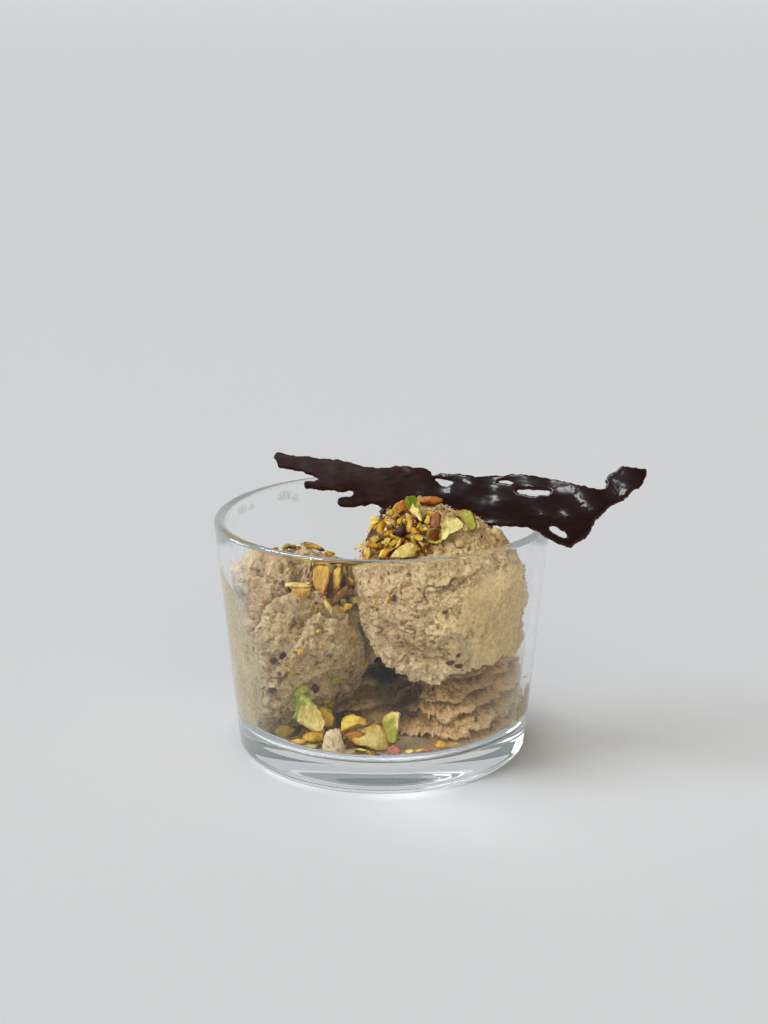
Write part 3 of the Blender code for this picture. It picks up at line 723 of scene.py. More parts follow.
def crumbRelief(points, seed, calm=0.0):
    # torn, grainy surface in millimetres: soft lumps, round clumps and grains of unequal height,
    # ridges, thin cracks where slow noise crosses zero, and small pits; the second value is the
    # relief without the lumps and with the cracks and pits taken off, which darkens them as painted
    # shade
    c = crumb
    bend = np.stack([waveNoise(points, c["bendSize"], seed + n) for n in (1, 2, 3)], axis=-1)
    bent = points + c["bend"] * bend
    near, _, value = cellNoise(bent, c["clumpSize"], seed)
    clumps = dome(near, 0.85) * (0.2 + 0.9 * value)
    nearFine, _, valueFine = cellNoise(bent, c["grainSize"], seed + 4)
    grains = dome(nearFine, 0.75) * (0.25 + 0.85 * valueFine)
    lumps = layeredNoise(points, c["lumpSize"], 4, 0.6, seed + 5)
    ridges = 1 - 2.0 * np.abs(layeredNoise(bent, c["ridgeSize"], 3, 0.55, seed + 10))
    patch = smooth(-0.5, 0.5, waveNoise(points, c["patchSize"], seed + 6))
    crack = smooth(0.07, 0.0, np.abs(layeredNoise(bent, c["crackSize"], 3, 0.45, seed + 7)))
    crack = crack * smooth(0.0, 0.35, waveNoise(points, c["crackedSize"], seed + 9))
    pits = smooth(0.42, 0.62, waveNoise(bent, c["pitSize"], seed + 8))
    pits = pits + poreSpots(bent, c["poreSize"], 0.3, seed + 11)
    small = (0.45 + 0.55 * patch) * (c["clump"] * clumps + c["grain"] * grains)
    small = small + c["ridge"] * ridges * patch - c["level"]
    cut = c["crack"] * crack + c["pit"] * pits
    relief = small * (1 - calm) + c["lump"] * lumps - cut * (1 - calm)
    return relief, small - 0.8 * crack - 0.6 * pits


fold = {
    "bend": 0.5, "bendSize": 1.8,  # how its line wanders
    "cutBack": 0.8, "cutFade": 0.35,  # depth and fade on the far side, as shares of the near side's
    # painted shade: lighter beside the fold and darker below it
    "shade": 0.45, "shadeFade": 0.9, "shadeBelow": 2.0,  # lighter beside it, darker below it
}


def foldEdge(points, folds, centre, seed):
    # beside each line the cream stands out on one side, rise * exp(-way / fade), and is cut back on
    # the other over about a third of the way; the second value is that step as painted shade in the
    # colour
    bend = [layeredNoise(points, fold["bendSize"], 3, 0.6, seed + n) for n in (1, 2, 3)]
    bent = points + fold["bend"] * np.stack(bend, axis=-1)
    height, shade = np.zeros(len(points)), np.zeros(len(points))
    row = np.arange(len(points))
    for line, rise, fade in folds:
        start, end = np.array(line[:-1]), np.array(line[1:])
        along = end - start
        offset = bent[:, None] - start
        share = np.clip(np.sum(offset * along, axis=2) / np.sum(along * along, axis=1), 0, 1)
        gap = offset - share[..., None] * along
        way = np.linalg.norm(gap, axis=2)
        nearest = way.argmin(axis=1)
        across = unit(np.cross(start - centre, end - centre))
        side = np.sum(gap[row, nearest] * across[nearest], axis=1)
        way = way[row, nearest]
        cut = -fold["cutBack"] * np.exp(-way / (fold["cutFade"] * fade))
        out = np.where(side > 0, np.exp(-way / fade), cut)
        height += rise * out * (smooth(-0.15, 0.15, side) + 0.7 * (side < 0))
        step = np.where(side > 0, 1.0, -fold["shadeBelow"])
        shade += fold["shade"] * np.exp(-way / fold["shadeFade"]) * step
    return height, shade


rightScoop = {
    "centre": np.array([14.9, -12.0, 45.9]),
    "radius": 21.3,
    "roughness": 1.2,
    "shoulder": ((0.75, 0.1, 0.65), -3.2, 0.55),
    "crown": ((0.15, 0.1, 1.0), -2.4, 0.42),
    "cheek": ((0.62, -0.78, -0.05), 1.6, 0.45),  # pressed on the wall at the front right
    "side": ((1.0, -0.05, -0.15), -3.2, 0.38),  # clear of the wall at the far right
    "skirtDepth": 3.2,
    "skirtDroop": 1.1,
    # bearing and height of its lower edge
    "skirtEdge": ((-160, -42), (-147, -42), (-132, -46), (-118, -54), (-104, -54), (-92, -46),
                  (-82, -39), (-60, -37), (-20, -37)),
    "secondEdge": (-15, 0.6),  # a smaller torn edge this far below the first, and its share
    "skirtFade": (13.0, 7.0),  # how far up the skirt fades above each edge
    "skirtRagged": 3.5,
    "secondRagged": 4.0,
    "undercut": 3.2,  # how far the ball is cut back below the skirt
    "skirtMiddle": -95,
    "skirtHalfSpan": 78,
    "calm": 0.1,
    # lines beside which the cream is folded over: points, rise and how far it fades away
    "folds": (
        (((22.9, -28.3, 32.6), (24.2, -31.0, 38.3), (26.0, -31.3, 42.3), (29.1, -29.5, 46.9),
          (31.5, -26.7, 49.7)), 1.3, 4.0),
        (((10.7, -33.4, 51.3), (13.4, -33.6, 51.9), (16.2, -32.9, 54.1), (20.4, -31.7, 55.2)),
         0.8, 3.0),
    ),
    "even": 0.0,  # how far its grain is calmed in the material
    "tint": (1.03, 1.02, 1.0),
    # brighter where pressed on the glass, as painted light where this side faces away from the
    # daylight
    "pressedTintAndLight": (1.27, 1.26, 1.17),
    "steps": 127,
    "seed": 1,
}
leftScoop = {
    "centre": np.array([-21.5, -2.0, 31.0]),
    "radius": 19.8,
    "roughness": 1.2,
    "foot": ((-0.7, -0.25, -0.65), 11.0, 0.75),
    "shoulder": ((-0.75, -0.3, 0.6), 4.5, 0.5),
    "calm": 0.1,
    "folds": (
        (((-10.7, -15.4, 42.1), (-14.7, -15.2, 45.1), (-19.8, -16.0, 45.9), (-24.5, -17.1, 44.5),
          (-27.4, -18.5, 41.6), (-28.8, -20.0, 37.6), (-29.8, -20.7, 32.3)), 1.5, 4.5),
        (((-11.3, -17.7, 39.4), (-15.4, -18.7, 41.2), (-18.2, -20.5, 39.3), (-19.6, -22.0, 35.2)),
         0.9, 3.0),
    ),
    "even": 0.0,
    "tint": (1.0, 1.0, 0.98),
    # greyer and greener where pressed on the glass, and darkened as painted shade where the
    # daylight falls on it
    "pressedTintAndLight": (0.74, 0.81, 0.90),
    "steps": 127,
    "seed": 2,
}
tornBase = {
    "centre": np.array([11.0, 3.5, 13.5]),
    "radii": np.array([27.0, 27.0, 18.0]),
    "roughness": 1.2,
    "hollow": ((-0.52, -0.84, 0.22), -23.0, 0.56),  # the dark gap in front of it at the left
    "swell": ((0.48, -0.84, 0.25), 3.0, 0.42),
    "ledgeSpacing": 4.0,
    "ledgeDepth": 4.2,
    "ledgeDroop": 0.5,
    "ledgeSlope": 0.34,
    "ledgeRagged": 0.6,
    # how far the ledges wander up and down: height, size and seed
    "ledgeWaves": ((2.4, 13.0, 31), (2.2, 5.6, 32)),
    "tornLumps": 1.3,
    "tornFolds": 0.5,
    "calm": 0.0,
    "folds": (),
    "even": 0.1,
    # warmer than the scoops, as painted warm light bounced between the cream's surfaces
    "tint": (1.14, 0.98, 0.76),
    "pressedTintAndLight": (1.0, 1.0, 1.0),
    "steps": 127,
    "seed": 3,
}


def rightForm(directions, piece=rightScoop):
    # ball with swellings and flat places, reach = radius + their lobes, and a torn skirt that
    # stands out low at its front: above its edge + skirtDepth * exp(-(height over it / fade)^2)
    reach = piece["radius"]
    for swelling in ("shoulder", "cheek", "side", "crown"):
        reach = reach + lobe(directions, *piece[swelling])
    low = np.degrees(np.arcsin(np.clip(directions[:, 2], -1, 1)))
    bearing = np.degrees(np.arctan2(directions[:, 1], directions[:, 0]))
    ragged = waveNoise(directions, 0.16, 3) + 0.6 * waveNoise(directions, 0.07, 4)
    ragged = ragged + 0.35 * waveNoise(directions, 0.035, 6)
    edge = np.interp(bearing, *np.array(piece["skirtEdge"]).T) + piece["skirtRagged"] * ragged
    drop, part = piece["secondEdge"]
    second = edge + drop + piece["secondRagged"] * waveNoise(directions, 0.12, 7)
    above, below = (
        smooth(start - 1.0, start + 0.6, low) * np.exp(-((np.maximum(low - start, 0) / fade) ** 2))
        for start, fade in zip((edge, second), piece["skirtFade"]))
    above = above + part * below * (low < edge)
    along = np.exp(-(((bearing - piece["skirtMiddle"]) / piece["skirtHalfSpan"]) ** 4))
    depth = 0.75 + 0.35 * waveNoise(directions, 0.2, 5)
    reach = reach + piece["skirtDepth"] * above * along * depth
    reach = reach - piece["undercut"] * smooth(edge + 1.0, edge - 3.0, low) * along
    reach = reach + piece["roughness"] * layeredNoise(directions * 10, 1.9, 3, 0.5, piece["seed"])
    points = piece["centre"] + directions * reach[:, None]
    points[:, 2] -= piece["skirtDroop"] * above * along
    return points, 0.35 * above * along


def leftForm(directions, piece=leftScoop):
    # ball with its foot squeezed out to the wall: reach = radius + two lobes + lumps
    reach = piece["radius"]
    for swelling in ("foot", "shoulder"):
        reach = reach + lobe(directions, *piece[swelling])
    reach = reach + piece["roughness"] * layeredNoise(directions * 10, 1.9, 3, 0.5, piece["seed"])
    return piece["centre"] + directions * reach[:, None], np.zeros(len(directions))


def baseForm(directions, piece=tornBase):
    # oval with slanting ledges: going down, each swells out to its lip as the square of the way to
    # it and is cut back below it, and the lips hang down a little
    reach = 1 / np.linalg.norm(directions / piece["radii"], axis=1)
    reach = reach + lobe(directions, *piece["hollow"]) + lobe(directions, *piece["swell"])
    reach = reach + piece["roughness"] * layeredNoise(directions * 10, 2.4, 3, 0.5, piece["seed"])
    points = directions * reach[:, None]
    level = points[:, 2] - piece["ledgeSlope"] * points[:, 0]
    for height, size, seed in piece["ledgeWaves"]:
        level = level + height * waveNoise(points, size, seed)
    level = level + piece["ledgeRagged"] * layeredNoise(points, 2.2, 3, 0.6, 34)
    share = np.mod(-level / piece["ledgeSpacing"], 1.0)
    ledge = share**2 * smooth(1.0, 0.94, share)
    strength = np.clip(0.75 + 1.0 * waveNoise(points, 4.4, 33), 0.05, 1.3)
    reach = reach + piece["ledgeDepth"] * (ledge - 0.40) * strength
    folds = 1 - 2 * np.abs(layeredNoise(points, 3.0, 3, 0.6, 38))
    reach = reach + piece["tornLumps"] * layeredNoise(points, 2.6, 4, 0.6, 36)
    reach = reach + piece["tornFolds"] * folds
    points = piece["centre"] + directions * reach[:, None]
    lip = smooth(0.7, 0.95, share) * smooth(1.0, 0.96, share)
    points[:, 2] -= piece["ledgeDroop"] * lip * strength
    # relief for the colour: darker below the lips and in the hollow, as painted shade
    away, _, spread = piece["hollow"]
    inHollow = lobe(directions, away, 1.0, spread * 1.05)
    return points, (ledge - 0.26) * strength * 1.9 + 0.16 * folds - 0.7 * inHollow


def scoopPoints(directions, piece, form, fine=True):
    # the scoop's own form, then clumps and grains outwards, then kept in the glass; the second
    # value is how far each point stands out of its surroundings, from 0 to 1
    points, raised = form(directions, piece)
    shown = np.full(len(points), 0.5)
    if fine:
        relief, small = crumbRelief(points, piece["seed"] * 10, piece["calm"])
        height, shade = foldEdge(points, piece["folds"], piece["centre"], piece["seed"] * 10 + 5)
        points = points + directions * (relief + height)[:, None]
        # relief for the colour, darker in cracks, pits and below folds as painted shade
        shown = np.clip(0.5 + 0.75 * small + raised + shade, 0, 1)
    kept, pressed = keepInGlass(points)
    return kept, shown, pressed


# places with painted shade or painted light: place, size and colour
paintedShadeAndLight = (
    # painted shade in hollows that hold little light
    ((0.5, -2.5, 22.0), 5.5, (0.12, 0.15, 0.22)), ((4.5, -4.0, 16.0), 8.0, (0.48, 0.50, 0.48)),
    ((-9.0, -22.0, 9.0), 8.0, (0.55, 0.52, 0.36)),
    # painted shade under the nuts
    ((2.5, -22.0, 61.0), 8.5, (0.26, 0.15, 0.055)), ((-8.5, -13.5, 45.0), 5.5, (0.50, 0.40, 0.26)),
    # painted light below the right scoop's skirt, where shade falls
    ((27.0, -14.0, 25.0), 6.5, (1.25, 1.25, 1.20)),
)


def creamTint(points, piece, pressed):
    # the piece's own tint, towards its pressed tint as it nears the glass, times the painted shade
    # and painted light of the places
    gap = hollowRadius(points[:, 2]) - np.hypot(points[:, 0], points[:, 1])
    near = smooth(*contact["near"], gap + contact["nearRagged"] * waveNoise(points, 2.6, 96))
    near = contact["nearShare"] * near * (points[:, 2] < glass["height"])
    near = np.maximum(near, pressed)[:, None]
    tint = np.array(piece["tint"]) + near * (np.array(piece["pressedTintAndLight"]) - piece["tint"])
    for place, size, colour in paintedShadeAndLight:
        way = np.linalg.norm(points - place, axis=1) + 1.2 * waveNoise(points, 3.0, 95)
        tint = tint * (1 - smooth(size * 1.25, size * 0.5, way)[:, None] * (1 - np.array(colour)))
    return tint


def makeScoop(name, piece, form, node):
    directions, quads = cubeBall(piece["steps"])
    points, relief, pressed = scoopPoints(directions, piece, form)
    rim = contact["rim"] * smooth(0.0, 0.35, pressed) * smooth(1.0, 0.6, pressed)
    values = {"relief": np.clip(relief + rim, 0, 1), "pressed": pressed * (1 - rim),
              "calm": np.full(len(points), piece["even"]),
              "tint": creamTint(points, piece, pressed)}
    scoop = meshPiece(name, points, quads, creamMaterial, values)
    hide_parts(node)


makeScoop("scoopRight", rightScoop, rightForm, "scoop_right")
makeScoop("scoopLeft", leftScoop, leftForm, "scoop_left")
makeScoop("tornBase", tornBase, baseForm, "ice_cream_base")


# Pistachios, in millimetres

nutColours = {
    "green": (0.22, 0.35, 0.025), "grass": (0.40, 0.40, 0.05), "lime": (0.60, 0.58, 0.15),
    "olive": (0.32, 0.22, 0.02), "gold": (0.82, 0.51, 0.045), "yellow": (0.96, 0.70, 0.13),
    "pale": (0.97, 0.80, 0.33), "celery": (0.86, 0.80, 0.38), "amber": (0.72, 0.40, 0.09),
    "orange": (0.56, 0.21, 0.03), "tan": (0.64, 0.47, 0.26), "rose": (0.42, 0.19, 0.10),
    "pink": (0.55, 0.18, 0.13), "brown": (0.20, 0.06, 0.015), "purple": (0.06, 0.013, 0.024),
    "wine": (0.15, 0.042, 0.055),
}
# how often each colour comes up in the loose pieces
nutMixes = {
    "golden": {"gold": 6, "yellow": 4, "pale": 4, "olive": 4, "orange": 2, "green": 1.5, "grass": 3,
               "lime": 2, "brown": 3, "purple": 2, "rose": 1},
    # dark brown and purple pieces laid under and between the others, as painted shade in the gaps
    "dark": {"brown": 6, "purple": 4, "olive": 3, "orange": 2, "gold": 1},
    "scattered": {"gold": 5, "rose": 6, "orange": 3, "olive": 2, "brown": 3, "purple": 1, "tan": 5,
                  "green": 0.4},
    "rims": {"olive": 6, "gold": 2, "green": 3, "brown": 5, "orange": 2, "lime": 1},
}
nuts = {
    "kernel": (1.15, 1.0, 1.7),  # half sizes of the kernel that a chunk is cut from, in chunk sizes
    "edge": 300,  # how sharp the cut edges are
    "cuts": 7,
    "nearest": 0.28,  # nearest and farthest cut from the middle
    "farthest": 0.68,
    "inset": 0.95,  # where a flat piece's faces end and its rim begins
    "around": 52,  # points round a big piece, and rings on each of its faces
    "rings": 8,
    "towards": math.radians(15.34),  # the big pieces are listed as they face the camera
    # height or share, and size, of the fine and finer unevenness of chunks, faces and outlines
    "rough": ((0.05, 1.6), (0.035, 0.7)),
    "wrinkles": ((0.22, 1.6), (0.08, 0.6)),
    "jagged": ((0.06, 1.3), (0.045, 0.55)),
    "under": (0.5, 0.9),  # how far below its middle a chunk is cut level
    "skinDepth": (0.07, 0.02),  # depths at which its coat starts and is full
    "slants": 4,  # slanting cuts across a rounded piece, how steep and how far out they are
    "slantSteep": (0.35, 1.1),
    "slantReach": (0.3, 1.9),
    "flatBelow": 0.25,  # roundness below which a piece has no such cuts
    # loose pieces: width and thickness as shares of the length, and their flat pieces' form
    "widths": (0.45, 0.9),
    "thicknesses": (0.14, 0.34),
    "thinnest": 0.35,
    "looseRound": 0.3,
    "looseBend": 0.22,
    "heartInRim": 0.3,  # how much of the heart's colour the rim takes
    "cornerSwing": 0.32,  # how unevenly the corners lie round an outline, and how far out
    "cornerReach": (0.62, 1.08),
    "loops": (5, 2),  # corners of a crumb's outline and points on each side, then for larger ones
    "fineLoops": (6, 3),
    "coated": 0.3,  # share of the loose pieces with some coat left
    "sharpFrom": 22,  # degrees
    "glassGap": 0.05,
}


def frameFrom(outward, turn, tip):
    # turned frames whose third axis points outwards, spun and tipped in degrees
    helper = np.where(np.abs(outward[:, 2:3]) > 0.95, [[1.0, 0, 0]], [[0, 0, 1.0]])
    first = unit(np.cross(helper, outward))
    second = np.cross(outward, first)
    spin = np.radians(turn)[:, None]
    along = first * np.cos(spin) + second * np.sin(spin)
    across = -first * np.sin(spin) + second * np.cos(spin)
    lean = np.radians(tip)[:, None]
    up = outward * np.cos(lean) + across * np.sin(lean)
    across = np.cross(up, along)
    return np.stack([along, across, up], axis=2)


def twoWaves(points, waves, seed):
    (first, size), (second, finer) = waves
    return first * waveNoise(points, size, seed) + second * waveNoise(points, finer, seed + 1)


def choppedPieces(middles, frames, sizes, steps, seed, coat, edge=nuts["edge"]):
    # pieces cut from a kernel: along each direction the reach is the soft smallest of the ways to
    # the cut planes and to the kernel's rounded outside, by summing their inverses to a high power
    count = len(middles)
    draw = np.random.default_rng(seed)
    directions, quads = cubeBall(steps)
    planes = unit(draw.normal(size=(count, nuts["cuts"], 3)))
    away = draw.uniform(nuts["nearest"], nuts["farthest"], size=(count, nuts["cuts"]))
    planes = np.concatenate([planes, np.tile(np.array([[[0, 0, -1.0]]]), (count, 1, 1))], axis=1)
    away = np.concatenate([away, draw.uniform(*nuts["under"], size=(count, 1))], axis=1)
    half = np.array(nuts["kernel"])
    lowered = np.array([0, 0, 1.0 - half[2]])
    # the kernel is an oval about a point below, met where a * way^2 - 2 * b * way + c = 0
    a = np.sum((directions / half) ** 2, axis=1)
    b = np.sum(directions * lowered / half**2, axis=1)
    c = np.sum((lowered / half) ** 2) - 1
    outside = a / (b + np.sqrt(b * b - a * c))
    facing = np.maximum(np.einsum("nkc,vc->nvk", planes, directions), 0) / away[:, None, :]
    strongest = np.maximum(facing.max(axis=2), outside)
    total = ((facing / strongest[..., None]) ** edge).sum(axis=2) + (outside / strongest) ** edge
    reach = 1 / (strongest * total ** (1 / edge))
    local = directions * reach[..., None]
    place = local * sizes[:, None, :] / 2 + middles[:, None, :]
    rough = twoWaves(place, nuts["rough"], seed)
    depth = 1 - np.linalg.norm((local - lowered) / half, axis=2)
    local = local * (1 + rough[..., None])
    placed = middles[:, None, :] + np.einsum("nvc,nc,ndc->nvd", local, sizes / 2, frames)
    index = quads[None] + (np.arange(count) * len(directions))[:, None, None]
    onSkin = smooth(*nuts["skinDepth"], depth) * smooth(-0.2, 0.2, local[..., 2])
    return placed, index.reshape(-1, 4), depth * 1.3, onSkin * np.asarray(coat, float)[:, None]


def chipPieces(middles, frames, outlines, thick, roundness, bend, rimSide, coat, rings, seed):
    # flat pieces: the outline drawn in towards its middle in rings on both faces, with one more
    # row for the rim; half thickness * (1 - roundness * out^2), bent by bend * way along^2
    count, around = outlines.shape[:2]
    outward = nuts["inset"] * np.arange(1, rings + 1) / rings
    out = np.concatenate([outward, [1.0], outward[::-1]])
    side = np.concatenate([np.ones(rings), [0.0], -np.ones(rings)])
    core = outlines.mean(axis=1)[:, None, None]
    flat = core + (outlines[:, None] - core) * out[None, :, None, None]
    height = thick[:, None] / 2 * (1 - roundness[:, None] * out**2) * side
    height = np.broadcast_to(height[..., None, None], (*flat.shape[:3], 1))
    local = np.concatenate([flat, height], axis=3).reshape(count, -1, 3)
    ends = np.concatenate([core[:, 0], core[:, 0]], axis=1)
    ends = np.concatenate([ends, np.stack([thick / 2, -thick / 2], axis=1)[..., None]], axis=2)
    local = np.concatenate([local, ends], axis=1)
    place = local * [1.0, 0.5, 1.0] + middles[:, None, :]
    wrinkle = twoWaves(place, nuts["wrinkles"], seed) * np.minimum(1.0, thick / 1.4)[:, None]
    (coarse, size), (fine, finer) = nuts["jagged"]
    jagged = 1 + coarse * waveNoise(place + 7.0, size, seed + 2)
    jagged = jagged + fine * waveNoise(place, finer, seed + 3)
    local[..., :2] *= jagged[..., None]
    bowed = bend[:, None] * (local[..., 0] ** 2 + 0.4 * local[..., 1] ** 2)
    local[..., 2] += wrinkle + bowed
    # a few slanting cuts across the upper face, none on flat slices
    draw = np.random.default_rng(seed + 9)
    shape = (count, nuts["slants"])
    spin = draw.uniform(0, 2 * math.pi, size=shape)
    steep = draw.uniform(*nuts["slantSteep"], size=shape)
    share = draw.uniform(*nuts["slantReach"], size=shape)
    reach = np.abs(outlines).mean(axis=(1, 2))[:, None] * share
    way = np.einsum("nv,nk->nvk", local[..., 0], np.cos(spin))
    way = way + np.einsum("nv,nk->nvk", local[..., 1], np.sin(spin))
    cut = ((reach[:, None] - way) * steep[:, None]).min(axis=2) + thick[:, None] / 2
    cut = np.maximum(cut, -0.2 * thick[:, None]) + 9 * (roundness[:, None] < nuts["flatBelow"])
    local[..., 2] = np.minimum(local[..., 2], cut)
    placed = middles[:, None, :] + np.einsum("nvc,ndc->nvd", local, frames)
    rows = len(out)
    here = np.arange(around)
    beside = np.roll(here, -1)
    first, second = (
        (np.arange(rows - 1)[:, None] * around + end).ravel() for end in (here, beside))
    quads = np.stack([first, first + around, second + around, second], axis=1)
    last = (rows - 1) * around
    middle = np.full(around, rows * around)
    top = np.stack([middle, here, beside], axis=1)
    bottom = np.stack([middle + 1, last + beside, last + here], axis=1)
    start = (np.arange(count) * local.shape[1])[:, None, None]
    quads = (quads[None] + start).reshape(-1, 4)
    tris = (np.concatenate([top, bottom])[None] + start).reshape(-1, 3)
    depth = np.concatenate([np.repeat(1 - out, around), [1.0, 1.0]])
    under = np.concatenate([np.repeat(np.where(side > 0, 0.0, 1.0), around), [0.0, 1.0]])
    # away from the side that shows it, the rim takes the colour of the heart
    bearing = np.arctan2(local[..., 1], local[..., 0])
    allRound = rimSide[:, None] > 360
    facing = np.where(allRound, 1.0, np.cos(bearing - np.radians(rimSide)[:, None]))
    wide = np.where(allRound, 1.0, 1 - 0.6 * smooth(0.1, 0.9, facing))
    depth = np.clip(depth * wide + smooth(0.35, -0.5, facing), 0, 1)
    depth = depth + 0.10 * waveNoise(place, 1.1, seed + 4)
    return placed, quads, tris, depth, under * np.asarray(coat, float)[:, None]


def onScoop(piece, form, bearing, height):
    # points of the scoop's surface, without its fine crumbs, and the way out there
    directions = fromBearing(np.asarray(bearing, float), np.asarray(height, float))
    points, _, _ = scoopPoints(directions, piece, form, fine=False)
    return points, directions


def clearOfGlass(points):
    # points in the hollow are kept a little off its wall and floor
    radius = np.hypot(points[..., 0], points[..., 1])
    limit = hollowRadius(points[..., 2]) - nuts["glassGap"]
    past = (points[..., 2] < glass["height"]) & (radius > limit)
    share = np.where(past, limit / np.maximum(radius, 1e-9), 1.0)
    height = np.maximum(points[..., 2], glass["base"] + nuts["glassGap"])
    return np.stack([points[..., 0] * share, points[..., 1] * share, height], axis=-1)


def addToPile(pile, placed, quads, tris, depth, skin, rimTint, heartTint):
    each = placed.shape[1]
    points = clearOfGlass(placed).reshape(-1, 3)
    pile.append((points, quads, tris, depth.ravel(), skin.ravel(),
                 np.repeat(rimTint, each, axis=0), np.repeat(heartTint, each, axis=0)))


def addChunks(pile, middles, frames, sizes, rimTint, heartTint, coats, steps, seed):
    placed, quads, depth, skin = choppedPieces(middles, frames, sizes, steps, seed, coats)
    addToPile(pile, placed, quads, np.zeros((0, 3), int), depth, skin, rimTint, heartTint)


def addChips(pile, middles, frames, outlines, build, rimTint, heartTint, coats, rings, seed):
    placed, quads, tris, depth, skin = chipPieces(
        middles, frames, outlines, *build, coats, rings, seed)
    addToPile(pile, placed, quads, tris, depth, skin, rimTint, heartTint)


piles = {
    # where nuts lie in a pile: piece, form, middle of the pile and its size
    "places": ((rightScoop, rightForm, (3.0, -22.5, 60.5), 9.0),
               (leftScoop, leftForm, (-8.5, -13.5, 45.0), 7.0)),
    # painted shade, darker towards what the pieces lie on
    "dark": 0.64,  # how much darker the lowest pieces are, and where that ends
    "lift": (2.1, 0.1),
    # the heap on the floor, darker towards the floor as painted shade
    "floorMiddle": (-9.0, -25.0),
    "floorSize": 22.0,
    "floorTop": 18,
    "floorDark": 0.55,
    "floorLift": 3.0,
    "powers": (0.7, 1.25, 2.0),  # of the shade in red, green and blue, so that it grows warmer
}


def paintedPileShade(points):
    # painted shade: in a pile the pieces grow darker towards what they lie on, from 1 down to a
    # third
    shade = np.ones(len(points))
    for piece, form, middle, size in piles["places"]:
        share = smooth(size * 1.35, size * 0.8, np.linalg.norm(points - middle, axis=1))
        near = np.flatnonzero(share > 0)
        way = points[near] - piece["centre"]
        surface, _ = form(unit(way), piece)
        lift = np.linalg.norm(way, axis=1) - np.linalg.norm(surface - piece["centre"], axis=1)
        shade[near] *= 1 - piles["dark"] * share[near] * smooth(*piles["lift"], lift)
    way = np.linalg.norm(points[:, :2] - piles["floorMiddle"], axis=1)
    low = smooth(1.0, 0.0, way / piles["floorSize"]) * (points[:, 2] < piles["floorTop"])
    lift = points[:, 2] - glass["base"]
    return shade * (1 - piles["floorDark"] * low * smooth(piles["floorLift"], 0.0, lift))


def joined(pile, part):
    # the faces of all parts as one array, each counted on from the points before it
    starts = np.cumsum([0] + [len(points[0]) for points in pile[:-1]])
    return np.concatenate([points[part] + start for points, start in zip(pile, starts)])


def makeNuts(name, pile):
    points, depth, skin, rimTint, heartTint = (
        np.concatenate([part[n] for part in pile]) for n in (0, 3, 4, 5, 6))
    # painted shade of the piles, multiplied into both colours
    shade = paintedPileShade(points)[:, None] ** piles["powers"]
    values = {"depth": depth, "skin": skin,
              "rimTint": rimTint * shade, "heartTint": heartTint * shade}
    return meshPiece(name, points, [joined(pile, 1), joined(pile, 2)], nutMaterial,
                     values, nuts["sharpFrom"])


def evenOutline(corners, steps):
    # points evenly spaced along the straight sides between the corners
    loop = np.array(corners + corners[:1])
    way = np.concatenate([[0], np.cumsum(np.linalg.norm(np.diff(loop, axis=0), axis=1))])
    spots = np.linspace(0, way[-1], steps, endpoint=False)
    return np.stack([np.interp(spots, way, loop[:, n]) for n in (0, 1)], axis=1)


